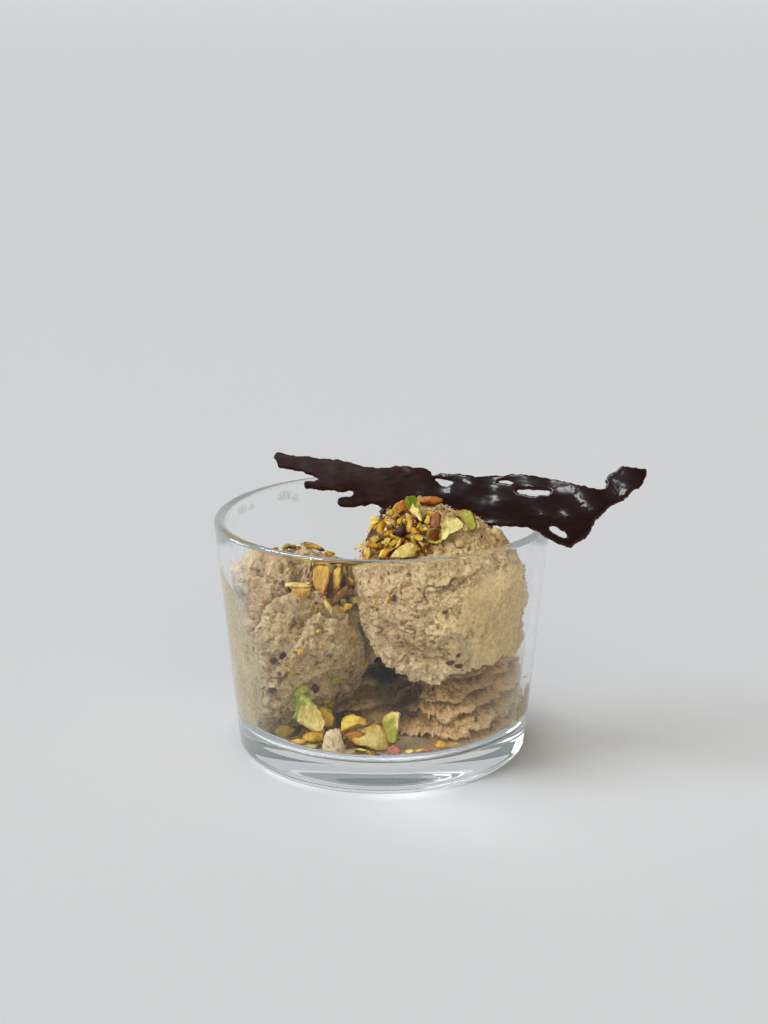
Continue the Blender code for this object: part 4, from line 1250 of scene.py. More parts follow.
# colours of rim and heart, coat, middle, swing and lean off the camera's view in degrees,
# thickness, roundness, bend and the side that shows the rim's colour (999 for all round), and the
# corners to the right and up from the middle
bigPieces = (
    ("brown", "orange", 0, (11.6, -13.0, 67.2), (0, 25), (2.2, 0.5, 0, -90), (
        (-2.4, -0.7), (-1.1, -1.0), (1.1, -1.1), (2.4, -0.5), (3.0, 0.4), (1.5, 1.0), (-0.7, 1.0),
        (-2.2, 1.1), (-3.0, -0.3))),
    ("gold", "orange", 0, (4.3, -13.5, 66.0), (15, 20), (1.4, 0.3, 0.03, 999), (
        (-0.6, -1.5), (1.4, -1.3), (2.0, 0.1), (1.4, 1.5), (0.5, 1.4), (-1.1, 0.6), (-2.0, -0.8))),
    ("lime", "green", 0, (7.2, -17.2, 67.7), (-20, 10), (1.3, 0.3, 0.1, -40), (
        (-1.7, 0.1), (-1.1, -0.8), (-0.8, -1.9), (0.1, -1.0), (1.3, -1.9), (1.9, -0.8), (1.4, 0.8),
        (0.4, 1.9), (-0.8, 1.8), (-1.9, 1.0))),
    ("green", "pale", 0, (8.1, -21.7, 66.7), (15, 15), (1.2, 0.2, 0.06, 20), (
        (-1.0, -0.3), (0.1, -0.9), (1.0, -2.1), (1.7, -2.3), (1.3, 0.2), (0.6, 1.5), (-0.2, 1.1),
        (-1.0, 2.3), (-1.7, 0.4))),
    ("olive", "celery", 1, (16.3, -27.1, 64.3), (10, 15), (1, 0.1, 0.02, 150), (
        (-1.2, -2.6), (-0.5, -1.4), (1.1, -0.7), (2.6, 0.1), (3.0, 1.0), (1.8, 2.3), (0.5, 3.0),
        (-1.0, 3.1), (-2.3, 2.5), (-3.0, 1.3), (-2.6, 0.0), (-3.0, -1.7), (-2.7, -3.1))),
    ("olive", "brown", 0, (12.1, -27.4, 62.9), (-20, 0), (1.6, 0.5, 0, 999), (
        (-1.8, -0.4), (-1.4, -1.3), (0.0, -1.8), (1.7, -1.3), (1.8, -0.2), (1.5, 1.5), (0.2, 1.8),
        (-0.9, 1.5), (-1.6, 0.7))),
    ("gold", "lime", 0, (12.3, -29.6, 61.9), (-10, 0), (0.9, 0.2, 0, 999), (
        (-1.1, -0.3), (0.4, -0.5), (1.7, 0.0), (1.4, 0.5), (-0.2, -0.1), (-1.7, 0.5))),
    ("rose", "rose", 0, (12.7, -23.5, 65.4), (-15, 15), (1.6, 0.5, 0, 999), (
        (-1.4, 0.0), (-1.5, -1.6), (-0.3, -2.0), (0.8, -1.8), (1.1, -0.2), (1.5, 1.4), (0.1, 2.0),
        (-1.0, 1.3))),
    ("olive", "grass", 1, (19.4, -23.2, 65.4), (25, 20), (1, 0.3, -0.05, 150), (
        (-2.6, 1.1), (-1.3, 0.6), (0.0, -0.5), (0.8, -1.7), (1.6, -2.7), (2.6, -2.4), (3.0, -1.3),
        (2.3, 0.8), (1.4, 2.2), (0.0, 2.7), (-1.6, 2.4), (-3.0, 1.9))),
    ("grass", "pale", 1, (5.8, -28.1, 59.4), (-10, 5), (1.3, 0.15, -0.02, -20), (
        (-1.1, -1.8), (2.5, -1.5), (4.0, -0.9), (3.3, 0.6), (2.3, 1.7), (0.4, 1.8), (-1.6, 1.0),
        (-3.3, -0.6), (-4.0, -1.7))),
    ("purple", "purple", 1, (4.5, -24.3, 62.8), (0, 0), (2.6, 0.7, 0, 999), (
        (-1.1, -0.9), (-0.2, -1.4), (0.7, -1.2), (1.4, -0.3), (1.3, 0.6), (0.5, 1.4), (-0.4, 1.4),
        (-1.2, 0.8), (-1.4, 0.0))),
    ("pale", "gold", 0, (6.3, -23.6, 64.7), (30, 0), (1, 0.2, -0.08, 999), (
        (-0.4, 1.0), (0.0, -0.2), (-0.7, -1.7), (-0.3, -2.4), (0.5, -1.7), (0.8, 0.0), (0.2, 1.8),
        (-0.8, 2.4))),
    ("gold", "gold", 0, (4.7, -21.6, 64.5), (0, 25), (1, 0.2, 0.06, 999), (
        (-1.0, -1.0), (0.1, -0.4), (0.5, -0.9), (1.3, -0.7), (1.1, 0.5), (-0.2, 1.0), (-1.3, 0.3))),
    ("olive", "lime", 0, (2.0, -13.2, 64.3), (-10, 20), (1.2, 0.4, 0, 999), (
        (-0.9, -1.0), (0.7, -0.7), (1.4, 0.0), (0.6, 1.0), (-0.4, 0.8), (-1.4, -0.2))),
    ("purple", "purple", 1, (0.1, -7.3, 63.1), (0, 10), (1.2, 0.5, 0, 999), (
        (-0.5, -0.8), (0.4, -0.9), (0.9, 0.5), (-0.1, 0.9), (-0.9, 0.0))),
    ("rose", "rose", 0, (2.2, -17.5, 64.2), (0, 10), (1, 0.3, 0, 999), (
        (-0.9, -0.5), (1.0, -0.5), (1.2, 0.0), (0.0, 0.5), (-1.2, 0.1))),
    ("rose", "rose", 0, (-1.2, -7.7, 61.5), (0, 0), (1.2, 0.4, 0, 999), (
        (-0.5, -0.6), (0.6, -0.5), (0.8, 0.4), (0.0, 0.6), (-0.8, -0.2))),
    ("olive", "gold", 1, (-0.2, -17.0, 62.0), (-25, 10), (1.1, 0.3, 0.05, 999), (
        (-0.9, -1.9), (0.3, -1.4), (1.1, -0.3), (1.6, 1.2), (0.8, 1.9), (-0.9, 1.0), (-1.6, -1.0))),
    ("gold", "pale", 0, (2.0, -20.3, 63.7), (10, -20), (0.8, 0.1, 0, 999), (
        (0.2, -1.0), (1.2, -0.6), (1.4, 0.5), (0.2, 1.0), (-1.4, 0.5))),
    ("brown", "gold", 1, (1.4, -22.0, 61.9), (-10, -10), (1.4, 0.4, 0.05, 999), (
        (-1.9, -0.8), (-0.3, -1.3), (1.5, -1.2), (1.9, 0.1), (1.6, 1.3), (-0.3, 0.5),
        (-1.7, -0.4))),
    ("gold", "pale", 0, (-1.6, -19.1, 59.4), (-20, 0), (1, 0.2, 0, 999), (
        (-0.5, -1.0), (1.1, 0.0), (1.4, 0.8), (-0.3, 1.0), (-1.4, 0.0))),
    ("purple", "purple", 1, (-2.6, -14.9, 59.2), (-30, 0), (0.8, 0.2, 0, 999), (
        (-0.5, -1.2), (-0.3, -0.3), (1.0, 1.0), (0.6, 1.2), (-0.8, 0.1), (-1.0, -1.0))),
    ("orange", "gold", 0, (-1.8, -20.5, 58.4), (-15, 0), (1.3, 0.4, 0, 999), (
        (-0.4, -0.7), (1.7, -0.6), (1.7, 0.3), (-1.0, 0.7), (-1.7, -0.1))),
    ("gold", "pale", 0, (-5.6, -9.7, 54.8), (0, 0), (0.8, 0.2, 0, 999), (
        (-0.9, -0.8), (-0.1, -0.4), (1.2, 0.4), (1.0, 0.8), (-0.3, 0.3), (-1.2, -0.4))),
    ("gold", "pale", 0, (1.2, -24.1, 60.2), (10, -15), (1, 0.2, 0.05, 999), (
        (-0.3, -1.2), (0.4, -0.3), (1.0, 1.0), (-0.1, 1.2), (-1.0, 0.2))),
    ("olive", "gold", 0, (2.7, -25.1, 60.3), (-15, 10), (1, 0.3, 0, 999), (
        (-0.6, -1.0), (0.8, -0.2), (1.3, 1.0), (-0.1, 0.8), (-1.3, -0.4))),
    ("gold", "pale", 0, (3.8, -25.8, 60.4), (20, 0), (0.9, 0.2, 0, 999), (
        (-0.1, -1.1), (0.6, -0.2), (0.8, 1.1), (0.3, 0.9), (-0.8, -1.1))),
    ("orange", "gold", 0, (-3.9, -18.0, 56.1), (-20, 0), (1, 0.3, 0, 999), (
        (-0.5, -1.6), (0.3, -0.7), (0.9, 1.1), (0.0, 1.6), (-0.9, 0.0))),
    ("gold", "yellow", 0, (0.4, -24.3, 57.6), (0, 0), (1.8, 0.5, 0, 999), (
        (0.7, -1.2), (1.3, 0.6), (0.4, 1.2), (-0.8, 0.6), (-1.3, -1.0))),
    ("gold", "pale", 0, (10.7, -23.6, 65.2), (15, 0), (1, 0.3, 0, 999), (
        (-0.2, -1.4), (0.5, -0.4), (0.8, 1.3), (0.0, 1.4), (-0.8, -0.2))),
    ("brown", "purple", 1, (8.5, -22.3, 64.9), (0, 0), (1.3, 0.4, 0, 999), (
        (0.1, -0.9), (1.1, -1.3), (1.2, 0.0), (0.1, 1.3), (-1.2, 0.8))),
    ("tan", "tan", 0, (18.2, -27.6, 60.9), (0, 0), (1.8, 0.6, 0, 999), (
        (-0.8, -1.0), (0.5, -1.0), (1.2, -0.1), (0.5, 1.0), (-0.6, 1.0), (-1.2, 0.1))),
    ("tan", "tan", 0, (27.2, -20.4, 60.8), (0, 0), (2.4, 0.6, 0, 999), (
        (-0.9, -0.2), (-0.1, -1.5), (1.3, -2.0), (1.8, -0.1), (1.1, 1.4), (-0.5, 2.0),
        (-1.8, 1.1))),
    ("rose", "tan", 0, (9.5, -28.5, 60.4), (0, 0), (0.9, 0.3, 0, 999), (
        (-0.1, -0.1), (0.5, -1.4), (1.2, -0.9), (0.9, -0.1), (-0.5, 1.4), (-1.2, 1.2))),
    ("gold", "yellow", 0, (18.2, -26.0, 62.8), (0, 0), (1, 0.4, 0, 999), (
        (-0.3, -0.5), (0.5, -0.2), (0.4, 0.5), (-0.5, 0.1))),
    ("gold", "pale", 0, (19.5, -24.8, 63.4), (0, 0), (1, 0.3, 0, 999), (
        (-0.3, -0.5), (0.7, -0.2), (0.6, 0.5), (-0.7, 0.2))),
    ("green", "pale", 0, (-17.4, -25.0, 18.1), (-18, 15), (2, 0.15, 0.03, 125), (
        (-2.6, 1.7), (-3.1, 0.3), (-3.6, -1.2), (-2.0, -2.2), (-0.3, -3.4), (1.5, -4.6),
        (3.2, -4.4), (3.6, -2.5), (3.0, -0.3), (2.0, 1.7), (1.1, 3.0), (0.1, 4.3), (-1.5, 4.6),
        (-2.7, 4.1))),
    ("olive", "gold", 0, (-13.2, -21.0, 15.6), (25, 10), (2.6, 0.6, 0, 999), (
        (-1.6, 0.2), (-0.9, -1.9), (0.8, -2.8), (2.2, -2.0), (2.1, -0.1), (1.1, 1.7), (-0.4, 2.8),
        (-2.2, 2.6))),
    ("green", "lime", 0, (-19.1, -21.2, 22.3), (-10, 20), (1.2, 0.2, 0.05, 150), (
        (0.0, -1.0), (1.4, -0.2), (1.9, 1.3), (0.5, 1.6), (-1.1, 1.3), (-1.5, -0.2), (-1.9, -1.6))),
    ("rose", "purple", 1, (-16.0, -19.2, 22.0), (0, 0), (1.2, 0.4, 0, 999), (
        (-0.5, -1.1), (1.1, -0.4), (1.3, 1.1), (0.3, 0.8), (-1.3, -0.2))),
    ("gold", "yellow", 0, (-6.7, -24.5, 15.2), (15, 30), (2.6, 0.25, 0, 999), (
        (-2.6, -2.5), (-0.6, -1.4), (1.0, -0.4), (3.0, 0.2), (2.7, 1.4), (1.0, 1.9), (-0.6, 2.5),
        (-2.3, 1.5), (-3.0, -0.1))),
    ("gold", "pale", 0, (-2.7, -26.0, 12.1), (-22, 5), (2.6, 0.3, -0.04, 999), (
        (-4.1, -1.2), (-0.7, -2.0), (1.4, -3.3), (5.0, -3.1), (4.6, -0.4), (4.0, 1.8), (2.8, 3.1),
        (0.8, 3.3), (-1.2, 2.6), (-3.3, 1.2), (-5.0, -0.1))),
    ("brown", "orange", 0, (-6.5, -26.5, 13.0), (10, 10), (1.8, 0.4, 0, 999), (
        (-0.5, -1.2), (1.8, -0.8), (2.8, 0.6), (1.1, 1.2), (-1.1, 0.9), (-2.8, 0.0))),
    ("pale", "grass", 0, (2.2, -24.5, 14.4), (20, 5), (1.5, 0.2, 0.04, 60), (
        (-1.7, 2.6), (-2.2, 1.0), (-1.3, -1.7), (0.0, -3.8), (1.4, -3.7), (1.7, -0.9), (1.9, 1.8),
        (2.2, 3.5), (0.0, 3.8))),
    ("olive", "olive", 0, (-22.7, -22.0, 12.4), (0, 30), (1.6, 0.5, 0, 999), (
        (-1.3, -1.6), (1.1, -1.0), (2.5, 0.6), (0.8, 1.5), (-1.1, 1.6), (-2.5, 0.0))),
    ("olive", "gold", 0, (-16.1, -26.5, 12.7), (0, 25), (1.6, 0.4, 0, 999), (
        (-1.9, -1.2), (0.0, -1.5), (2.4, -0.6), (2.7, 1.2), (0.5, 1.5), (-1.6, 1.2), (-2.7, 0.0))),
    ("orange", "gold", 0, (-19.4, -27.0, 11.7), (0, 30), (1.2, 0.4, 0, 999), (
        (-1.5, -0.7), (0.9, -0.8), (2.3, 0.2), (0.1, 0.8), (-2.3, 0.2))),
    ("olive", "lime", 0, (-17.1, -28.5, 10.7), (0, 30), (1.1, 0.3, 0, 999), (
        (-0.8, -0.8), (1.6, -0.6), (2.2, 0.6), (0.0, 0.8), (-2.2, 0.1))),
    ("pink", "pink", 0, (3.0, -29.3, 10.1), (10, 15), (0.8, 0.3, 0.1, 999), (
        (-0.8, -1.5), (1.5, -1.6), (1.9, -0.5), (0.9, 1.0), (-0.5, 1.6), (-1.9, 0.6))),
    ("pink", "pink", 0, (10.8, -28.0, 9.7), (-10, 15), (0.8, 0.3, 0.1, 999), (
        (-0.5, -1.0), (1.0, -0.7), (1.1, 0.7), (0.0, 1.0), (-1.1, -0.1))),
    ("gold", "pale", 0, (6.5, -28.8, 9.3), (0, 35), (0.8, 0.3, 0, 999), (
        (-1.0, -0.6), (0.1, -1.1), (1.2, 0.1), (0.3, 1.1), (-1.2, 0.7))),
    ("gold", "yellow", 0, (8.8, -28.5, 9.5), (0, 35), (0.8, 0.3, 0, 999), (
        (-0.4, -1.0), (1.0, 0.0), (0.6, 1.0), (-1.0, 0.0))),
    ("orange", "gold", 0, (13.6, -27.0, 10.7), (0, 35), (1, 0.3, 0, 999), (
        (-0.9, -1.4), (1.5, -0.5), (1.8, 1.0), (-0.4, 1.4), (-1.8, 0.0))),
    ("orange", "gold", 0, (16.6, -26.5, 9.6), (0, 35), (0.7, 0.3, 0, 999), (
        (-0.5, -0.5), (0.8, -0.2), (0.6, 0.5), (-0.8, 0.0))),
    ("lime", "yellow", 0, (-4.9, -29.0, 10.2), (0, 35), (0.8, 0.3, 0, 999), (
        (0.5, -0.6), (2.4, -0.6), (-0.3, 0.6), (-2.4, 0.4))),
    ("purple", "purple", 1, (5.7, -21.5, 17.0), (0, 20), (0.5, 0.2, 0.03, 999), (
        (-2.8, 0.5), (-0.7, -0.4), (1.2, -1.2), (3.1, -1.0), (0.6, 0.4), (-1.5, 1.2), (-3.1, 1.2))),
    ("brown", "brown", 0, (-7.6, -27.5, 11.1), (0, 0), (1.2, 0.4, 0, 999), (
        (0.0, -1.1), (1.1, -0.3), (0.5, 1.1), (-1.1, 0.5))),
    ("tan", "tan", 0, (-14.7, -29.5, 10.1), (0, 30), (0.8, 0.4, 0, 999), (
        (1.3, 0.8), (-0.8, -0.2), (-1.3, -0.8), (0.8, -0.5))),
    ("pale", "pale", 0, (-20.0, -15.5, 47.1), (0, 35), (1.4, 0.2, 0, 999), (
        (-2.8, -0.4), (-0.9, -0.6), (1.3, -0.8), (3.2, -0.3), (0.8, 0.6), (-1.3, 0.8),
        (-3.2, 0.5))),
    ("gold", "amber", 0, (-19.3, -16.9, 45.2), (0, 0), (2.2, 0.6, 0, 999), (
        (-2.4, 0.4), (-2.3, -0.6), (-0.9, -1.7), (0.6, -1.2), (2.1, 0.2), (2.4, 1.6), (0.6, 1.6),
        (-1.9, 1.7))),
    ("brown", "purple", 1, (-22.2, -16.0, 46.2), (0, 0), (1.2, 0.4, 0, 999), (
        (-0.4, -0.4), (0.6, -0.7), (1.0, 0.2), (-0.1, 0.7), (-1.0, 0.5))),
    ("gold", "amber", 0, (-14.7, -14.5, 47.0), (15, 10), (1.2, 0.2, 0.02, 999), (
        (-2.0, 0.9), (-1.3, -0.7), (-0.3, -1.9), (0.5, -3.2), (1.2, -1.2), (1.9, 0.9), (2.1, 3.0),
        (-0.3, 3.2), (-2.1, 2.8))),
    ("gold", "yellow", 0, (-10.9, -12.5, 46.4), (25, 0), (1.2, 0.3, 0, 999), (
        (-0.7, 0.2), (-0.9, -2.6), (-0.3, -2.7), (0.5, -1.2), (1.0, 0.9), (0.8, 2.7), (-1.0, 2.3))),
    ("purple", "purple", 0, (-9.3, -11.1, 45.8), (0, 0), (1.2, 0.4, 0, 999), (
        (-0.8, -1.1), (0.3, -0.5), (0.8, 0.4), (0.1, 1.1), (-0.8, 0.9))),
    ("rose", "rose", 0, (-10.2, -14.4, 44.5), (-20, 0), (1, 0.2, 0, 999), (
        (-0.9, -1.8), (0.5, -1.3), (1.3, 0.1), (2.1, 2.2), (1.1, 1.9), (-0.4, 0.6), (-1.5, -0.7),
        (-2.1, -2.2))),
    ("olive", "olive", 0, (-7.6, -7.2, 46.1), (-20, 0), (1.4, 0.4, 0, 999), (
        (-0.9, -0.4), (-0.5, -1.9), (0.5, -1.5), (1.0, 0.3), (0.8, 1.9), (-1.0, 1.7))),
    ("gold", "pale", 0, (-6.0, -8.0, 44.8), (-25, 0), (1.2, 0.3, 0, 999), (
        (-0.5, 1.1), (-0.7, -0.5), (-1.1, -2.8), (0.1, -1.4), (0.7, 0.4), (1.1, 2.7), (-0.9, 2.8))),
    ("green", "pale", 0, (-6.8, -12.4, 42.5), (0, 10), (1.2, 0.3, 0, 180), (
        (-1.7, -0.5), (0.0, -0.9), (1.9, -0.5), (2.1, 0.6), (0.3, 0.7), (-1.0, 0.9), (-2.1, 0.4))),
    ("gold", "pale", 0, (-13.0, -17.5, 42.6), (15, 0), (1, 0.3, 0, 999), (
        (0.2, -1.2), (0.9, -1.9), (1.3, -0.8), (0.7, 0.5), (-0.5, 1.9), (-1.3, 1.4))),
    ("pale", "gold", 0, (-9.2, -15.4, 41.2), (0, 10), (1.6, 0.3, 0, 999), (
        (-1.5, -1.4), (0.1, -0.7), (2.0, 0.5), (2.2, 1.3), (0.4, 1.4), (-1.5, 0.5), (-2.2, -1.3))),
    ("brown", "brown", 0, (-12.7, -13.1, 46.1), (0, 0), (0.8, 0.2, 0, 999), (
        (-0.8, -2.5), (0.4, -2.8), (0.8, -1.0), (0.8, 2.8), (-0.8, 1.4))),
)


def facingFrames(swing, lean):
    # frames that look at the camera, swung to one side and leant back
    low = nuts["towards"]
    right = np.array([1.0, 0, 0])
    up = np.array([0, math.sin(low), math.cos(low)])
    nearer = np.array([0, -math.cos(low), math.sin(low)])
    s, b = np.radians(swing)[:, None], np.radians(lean)[:, None]
    along = right * np.cos(s) + nearer * np.sin(s)
    facing = nearer * np.cos(s) - right * np.sin(s)
    across = up * np.cos(b) - facing * np.sin(b)
    return np.stack([along, across, facing * np.cos(b) + up * np.sin(b)], axis=2)


def tints(names):
    return np.array([nutColours[name] for name in names])


def makeBigNuts():
    rims, hearts, coats, middles, angles, builds, outlines = zip(*bigPieces)
    pile = []
    addChips(pile, np.array(middles), facingFrames(*np.array(angles, float).T),
             np.stack([evenOutline(outline, nuts["around"]) for outline in outlines]),
             np.array(builds, float).T, tints(rims), tints(hearts), coats, nuts["rings"], 40)
    piece = makeNuts("nutPieces", pile)
    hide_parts("pistachio_heap")


makeBigNuts()


def drawTints(draw, mix, count):
    share = np.array(list(mix.values()), float)
    return tints(list(mix))[draw.choice(len(mix), size=count, p=share / share.sum())]


def drawOutlines(draw, length, width, corners, steps):
    # corners at uneven angles and distances round an oval, with points along the straight sides
    count = len(length)
    swing = nuts["cornerSwing"]
    uneven = draw.uniform(-swing, swing, size=(count, corners))
    angle = (np.arange(corners) + uneven) * 2 * math.pi / corners
    reach = draw.uniform(*nuts["cornerReach"], size=(count, corners)) / 2
    spots = np.stack(
        [np.cos(angle) * reach * length[:, None], np.sin(angle) * reach * width[:, None]], axis=2)
    side = np.roll(spots, -1, axis=1) - spots
    share = np.arange(steps)[:, None] / steps
    return (spots[:, :, None] + side[:, :, None] * share).reshape(count, -1, 2)


def addLoose(pile, draw, middles, outward, length, tip, mix, fine, seed):
    # loose pieces, the even ones flat chips and the odd ones chunks
    count = len(middles)
    frames = frameFrom(outward, draw.uniform(0, 360, size=count), draw.normal(size=count) * tip)
    width = length * draw.uniform(*nuts["widths"], size=count)
    thick = length * draw.uniform(*nuts["thicknesses"], size=count)
    heart, rim = drawTints(draw, nutMixes[mix], count), drawTints(draw, nutMixes["rims"], count)
    rim = rim * (1 - nuts["heartInRim"]) + heart * nuts["heartInRim"]
    coats = (draw.uniform(size=count) < nuts["coated"]).astype(float)
    chip, chunk = slice(0, None, 2), slice(1, None, 2)
    outlines = drawOutlines(
        draw, length[chip], width[chip], *nuts["fineLoops" if fine else "loops"])
    bend = draw.normal(size=len(outlines)) * nuts["looseBend"] / np.maximum(length[chip], 1)
    build = (np.maximum(thick[chip], nuts["thinnest"]), np.full(len(bend), nuts["looseRound"]),
             bend, draw.uniform(0, 360, size=len(bend)))
    addChips(pile, middles[chip], frames[chip], outlines, build, rim[chip], heart[chip],
             coats[chip], 3 if fine else 1, seed)
    sizes = np.stack([length, width * 0.8, thick * 1.6], axis=1)[chunk]
    addChunks(pile, middles[chunk], frames[chunk], sizes, rim[chunk], heart[chunk],
              coats[chunk], 5 if fine else 3, seed + 1)


def scatterOn(pile, piece, form, count, where, lengths, standOut, tip, mix, fine, seed):
    # random pieces round one bearing and height, thinning out with distance
    draw = np.random.default_rng(seed)
    bearing, height, spread = where
    heights = np.minimum(86, height + draw.normal(size=count) * spread * 0.5)
    level = np.maximum(0.3, np.cos(np.radians(heights)))
    bearings = bearing + draw.normal(size=count) * spread / level
    length = lengths[0] + (lengths[1] - lengths[0]) * draw.uniform(size=count) ** 1.7
    points, outward = onScoop(piece, form, bearings, heights)
    middles = points + outward * draw.uniform(*standOut, size=count)[:, None]
    addLoose(pile, draw, middles, outward, length, tip, mix, fine, seed)


# bearing, height, length, width, turn and colour of small pieces that show in the scoops' sides
rightSpots = (
    (-81, -1, 3, 1.8, 40, "grass"), (-108, 10, 3.4, 2.9, 60, "tan"),
    (-125, 7, 2.3, 1.1, 80, "wine"), (-128, 6, 1.8, 1.1, 70, "gold"),
    (-82, -26, 2, 1.5, 10, "wine"), (-82, -33, 2.6, 1.7, -20, "wine"),
    (-88, -32, 2.4, 1.7, 20, "wine"), (-68, -18, 1.8, 1.4, 20, "brown"),
    (-75, -3, 1, 0.7, 0, "olive"), (-107, -35, 0.9, 0.9, 0, "rose"),
    (-139, 1, 2, 0.8, 85, "yellow"), (-136, -2, 1.4, 0.8, 60, "olive"),
    (-116, -33, 1, 0.8, 0, "rose"), (-126, 30, 1.6, 1, 30, "gold"), (-44, -1, 1, 0.6, 70, "brown"),
    (-38, -9, 0.8, 0.6, 0, "purple"), (-84, 11, 0.9, 0.6, 0, "gold"),
    (-62, 12, 1.2, 0.7, 40, "rose"), (-96, -9, 1.2, 0.8, 20, "rose"),
    (-119, -23, 1.2, 0.9, 10, "rose"), (-96, -14, 0.9, 0.7, 0, "orange"),
)
leftSpots = (
    (-101, -2, 3.2, 2.3, 20, "wine"), (-95, 2, 2.3, 1.8, 60, "purple"),
    (-110, -18, 2.8, 1.6, 60, "wine"), (-101, -20, 2.6, 1.8, 10, "purple"),
    (-57, -20, 4.2, 2, 10, "grass"), (-83, 6, 2.7, 1.8, 60, "gold"),
    (-73, -23, 2.9, 2.2, 60, "wine"), (-61, -37, 2.2, 1.8, 30, "yellow"),
    (-73, -6, 1.6, 1.2, 0, "orange"), (-29, -15, 2.6, 1.4, 70, "gold"),
    (-31, -6, 1.8, 1.4, 20, "olive"), (-70, 8, 2, 1, 70, "gold"),
    (-104, -69, 2.4, 1.8, 30, "purple"), (-134, -61, 1.8, 1.4, 0, "brown"),
    (-55, -41, 2.2, 1.6, 20, "gold"), (-88, -9, 1.2, 0.9, 0, "gold"),
    (-121, 2, 1.4, 1, 0, "purple"), (-112, 10, 1, 0.9, 0, "rose"), (-84, 22, 1.2, 0.8, 0, "orange"),
    (-71, 18, 1.4, 0.8, 40, "yellow"), (-92, 12, 1, 0.8, 0, "rose"), (-44, 6, 1.6, 1, 70, "gold"),
    (-50, -14, 1.2, 0.8, 0, "olive"), (-75, -43, 1.6, 1, 20, "orange"),
    (-97, -9, 1.2, 1, 0, "brown"),
)


def addSpots(pile, piece, form, spots, seed):
    draw = np.random.default_rng(seed)
    bearing, height, length, width, turn = np.array([spot[:5] for spot in spots], float).T
    points, outward = onScoop(piece, form, bearing, height)
    outlines = drawOutlines(draw, length, width, *nuts["fineLoops"])
    frames = frameFrom(outward, turn, draw.normal(size=len(spots)) * 15)
    build = np.tile([[0.8], [0.4], [0.0], [999.0]], (1, len(spots)))
    tint = tints([spot[5] for spot in spots])
    addChips(pile, points + outward * 0.6, frames, outlines, build, tint * 0.8, tint,
             np.zeros(len(spots)), 3, seed)


def scatterOver(pile, piece, form, count, lengths, seed):
    # random pieces half sunk in the whole of a scoop
    draw = np.random.default_rng(seed)
    outward = unit(draw.normal(size=(count, 3)))
    bearings = np.degrees(np.arctan2(outward[:, 1], outward[:, 0]))
    heights = np.degrees(np.arcsin(outward[:, 2]))
    points, outward = onScoop(piece, form, bearings, heights)
    length = draw.uniform(*lengths, size=count)
    addLoose(pile, draw, points + outward * 0.3, outward, length, 15, "scattered", False, seed)


# how many, round which bearing and height with what spread, lengths, how far the middles stand out,
# tip in degrees, colours, whether they are finely made, and seed
rightScatter = (
    (300, (-155, 47, 19), (0.9, 2.2), (0.0, 0.5), 30, "dark", False, 50),
    (130, (-154, 48, 17), (2.0, 4.8), (0.3, 1.3), 50, "golden", True, 51),
    (300, (-152, 46, 23), (0.6, 2.0), (0.2, 1.1), 45, "golden", False, 52),
)
leftScatter = (
    (110, (-38, 48, 14), (0.9, 2.0), (0.0, 0.5), 30, "dark", False, 49),
    (54, (-30, 50, 15), (1.6, 4.4), (0.5, 1.5), 55, "golden", True, 53),
    (26, (40, 66, 18), (2.0, 5.0), (0.5, 1.6), 45, "golden", True, 55),
    (170, (-35, 50, 24), (0.6, 2.0), (0.2, 1.2), 45, "golden", False, 54),
)
smallNuts = []
addSpots(smallNuts, rightScoop, rightForm, rightSpots, 56)
addSpots(smallNuts, leftScoop, leftForm, leftSpots, 57)
for row in rightScatter:
    scatterOn(smallNuts, rightScoop, rightForm, *row)
for row in leftScatter:
    scatterOn(smallNuts, leftScoop, leftForm, *row)
scatterOver(smallNuts, rightScoop, rightForm, 130, (0.5, 1.5), 58)
scatterOver(smallNuts, leftScoop, leftForm, 150, (0.5, 1.7), 59)
scatterOver(smallNuts, tornBase, baseForm, 90, (0.5, 1.6), 60)
makeNuts("nutCrumbs", smallNuts)

floorCrumbs = {
    "count": 230,
    "bearing": (-116, 19),  # middle and spread, in degrees
    "bearings": (-142, -52),
    "radii": (17.0, 30.8),
    "lowest": 8.5,
    "mound": 3.6,
    "lengths": (0.7, 4.0),
    "moundBearing": -118,
    "moundWidth": 18,
    "moundEdge": (31.0, 25.0),
    # dark crumbs laid low under the others, as painted shade
    "shadeCrumbHeight": 8.4,  # of the dark crumbs that lie in the melt below them
    "shadeCrumbAside": 2.0,
}


def makeFloorCrumbs(piece=floorCrumbs):
    # pieces lying round the heap, thickest and highest in its middle, and dark crumbs below them as
    # painted shade
    draw = np.random.default_rng(61)
    count = piece["count"]
    bearing = np.radians(np.clip(draw.normal(*piece["bearing"], size=count), *piece["bearings"]))
    radius = draw.uniform(*piece["radii"], size=count)
    off = (np.degrees(bearing) - piece["moundBearing"]) / piece["moundWidth"]
    mound = np.exp(-(off**2)) * smooth(*piece["moundEdge"], radius)
    length = piece["lengths"][0] + np.ptp(piece["lengths"]) * draw.uniform(size=count) ** 1.8
    height = piece["lowest"] + mound * draw.uniform(size=count) * piece["mound"] + length * 0.1
    middles = np.stack([np.cos(bearing) * radius, np.sin(bearing) * radius, height], axis=1)
    outward = unit(draw.normal(size=(count, 3)) * 0.45 + [0, -0.2, 1.0])
    pile = []
    addLoose(pile, draw, middles, outward, length, 30, "golden", True, 62)
    aside = middles[:, :2] + draw.normal(size=(count, 2)) * piece["shadeCrumbAside"]
    low = np.column_stack([aside, np.full(count, piece["shadeCrumbHeight"])])
    addLoose(pile, draw, low, outward, length * 0.7 + 0.5, 30, "dark", False, 64)
    makeNuts("floorCrumbs", pile)


makeFloorCrumbs()
print("nuts laid")

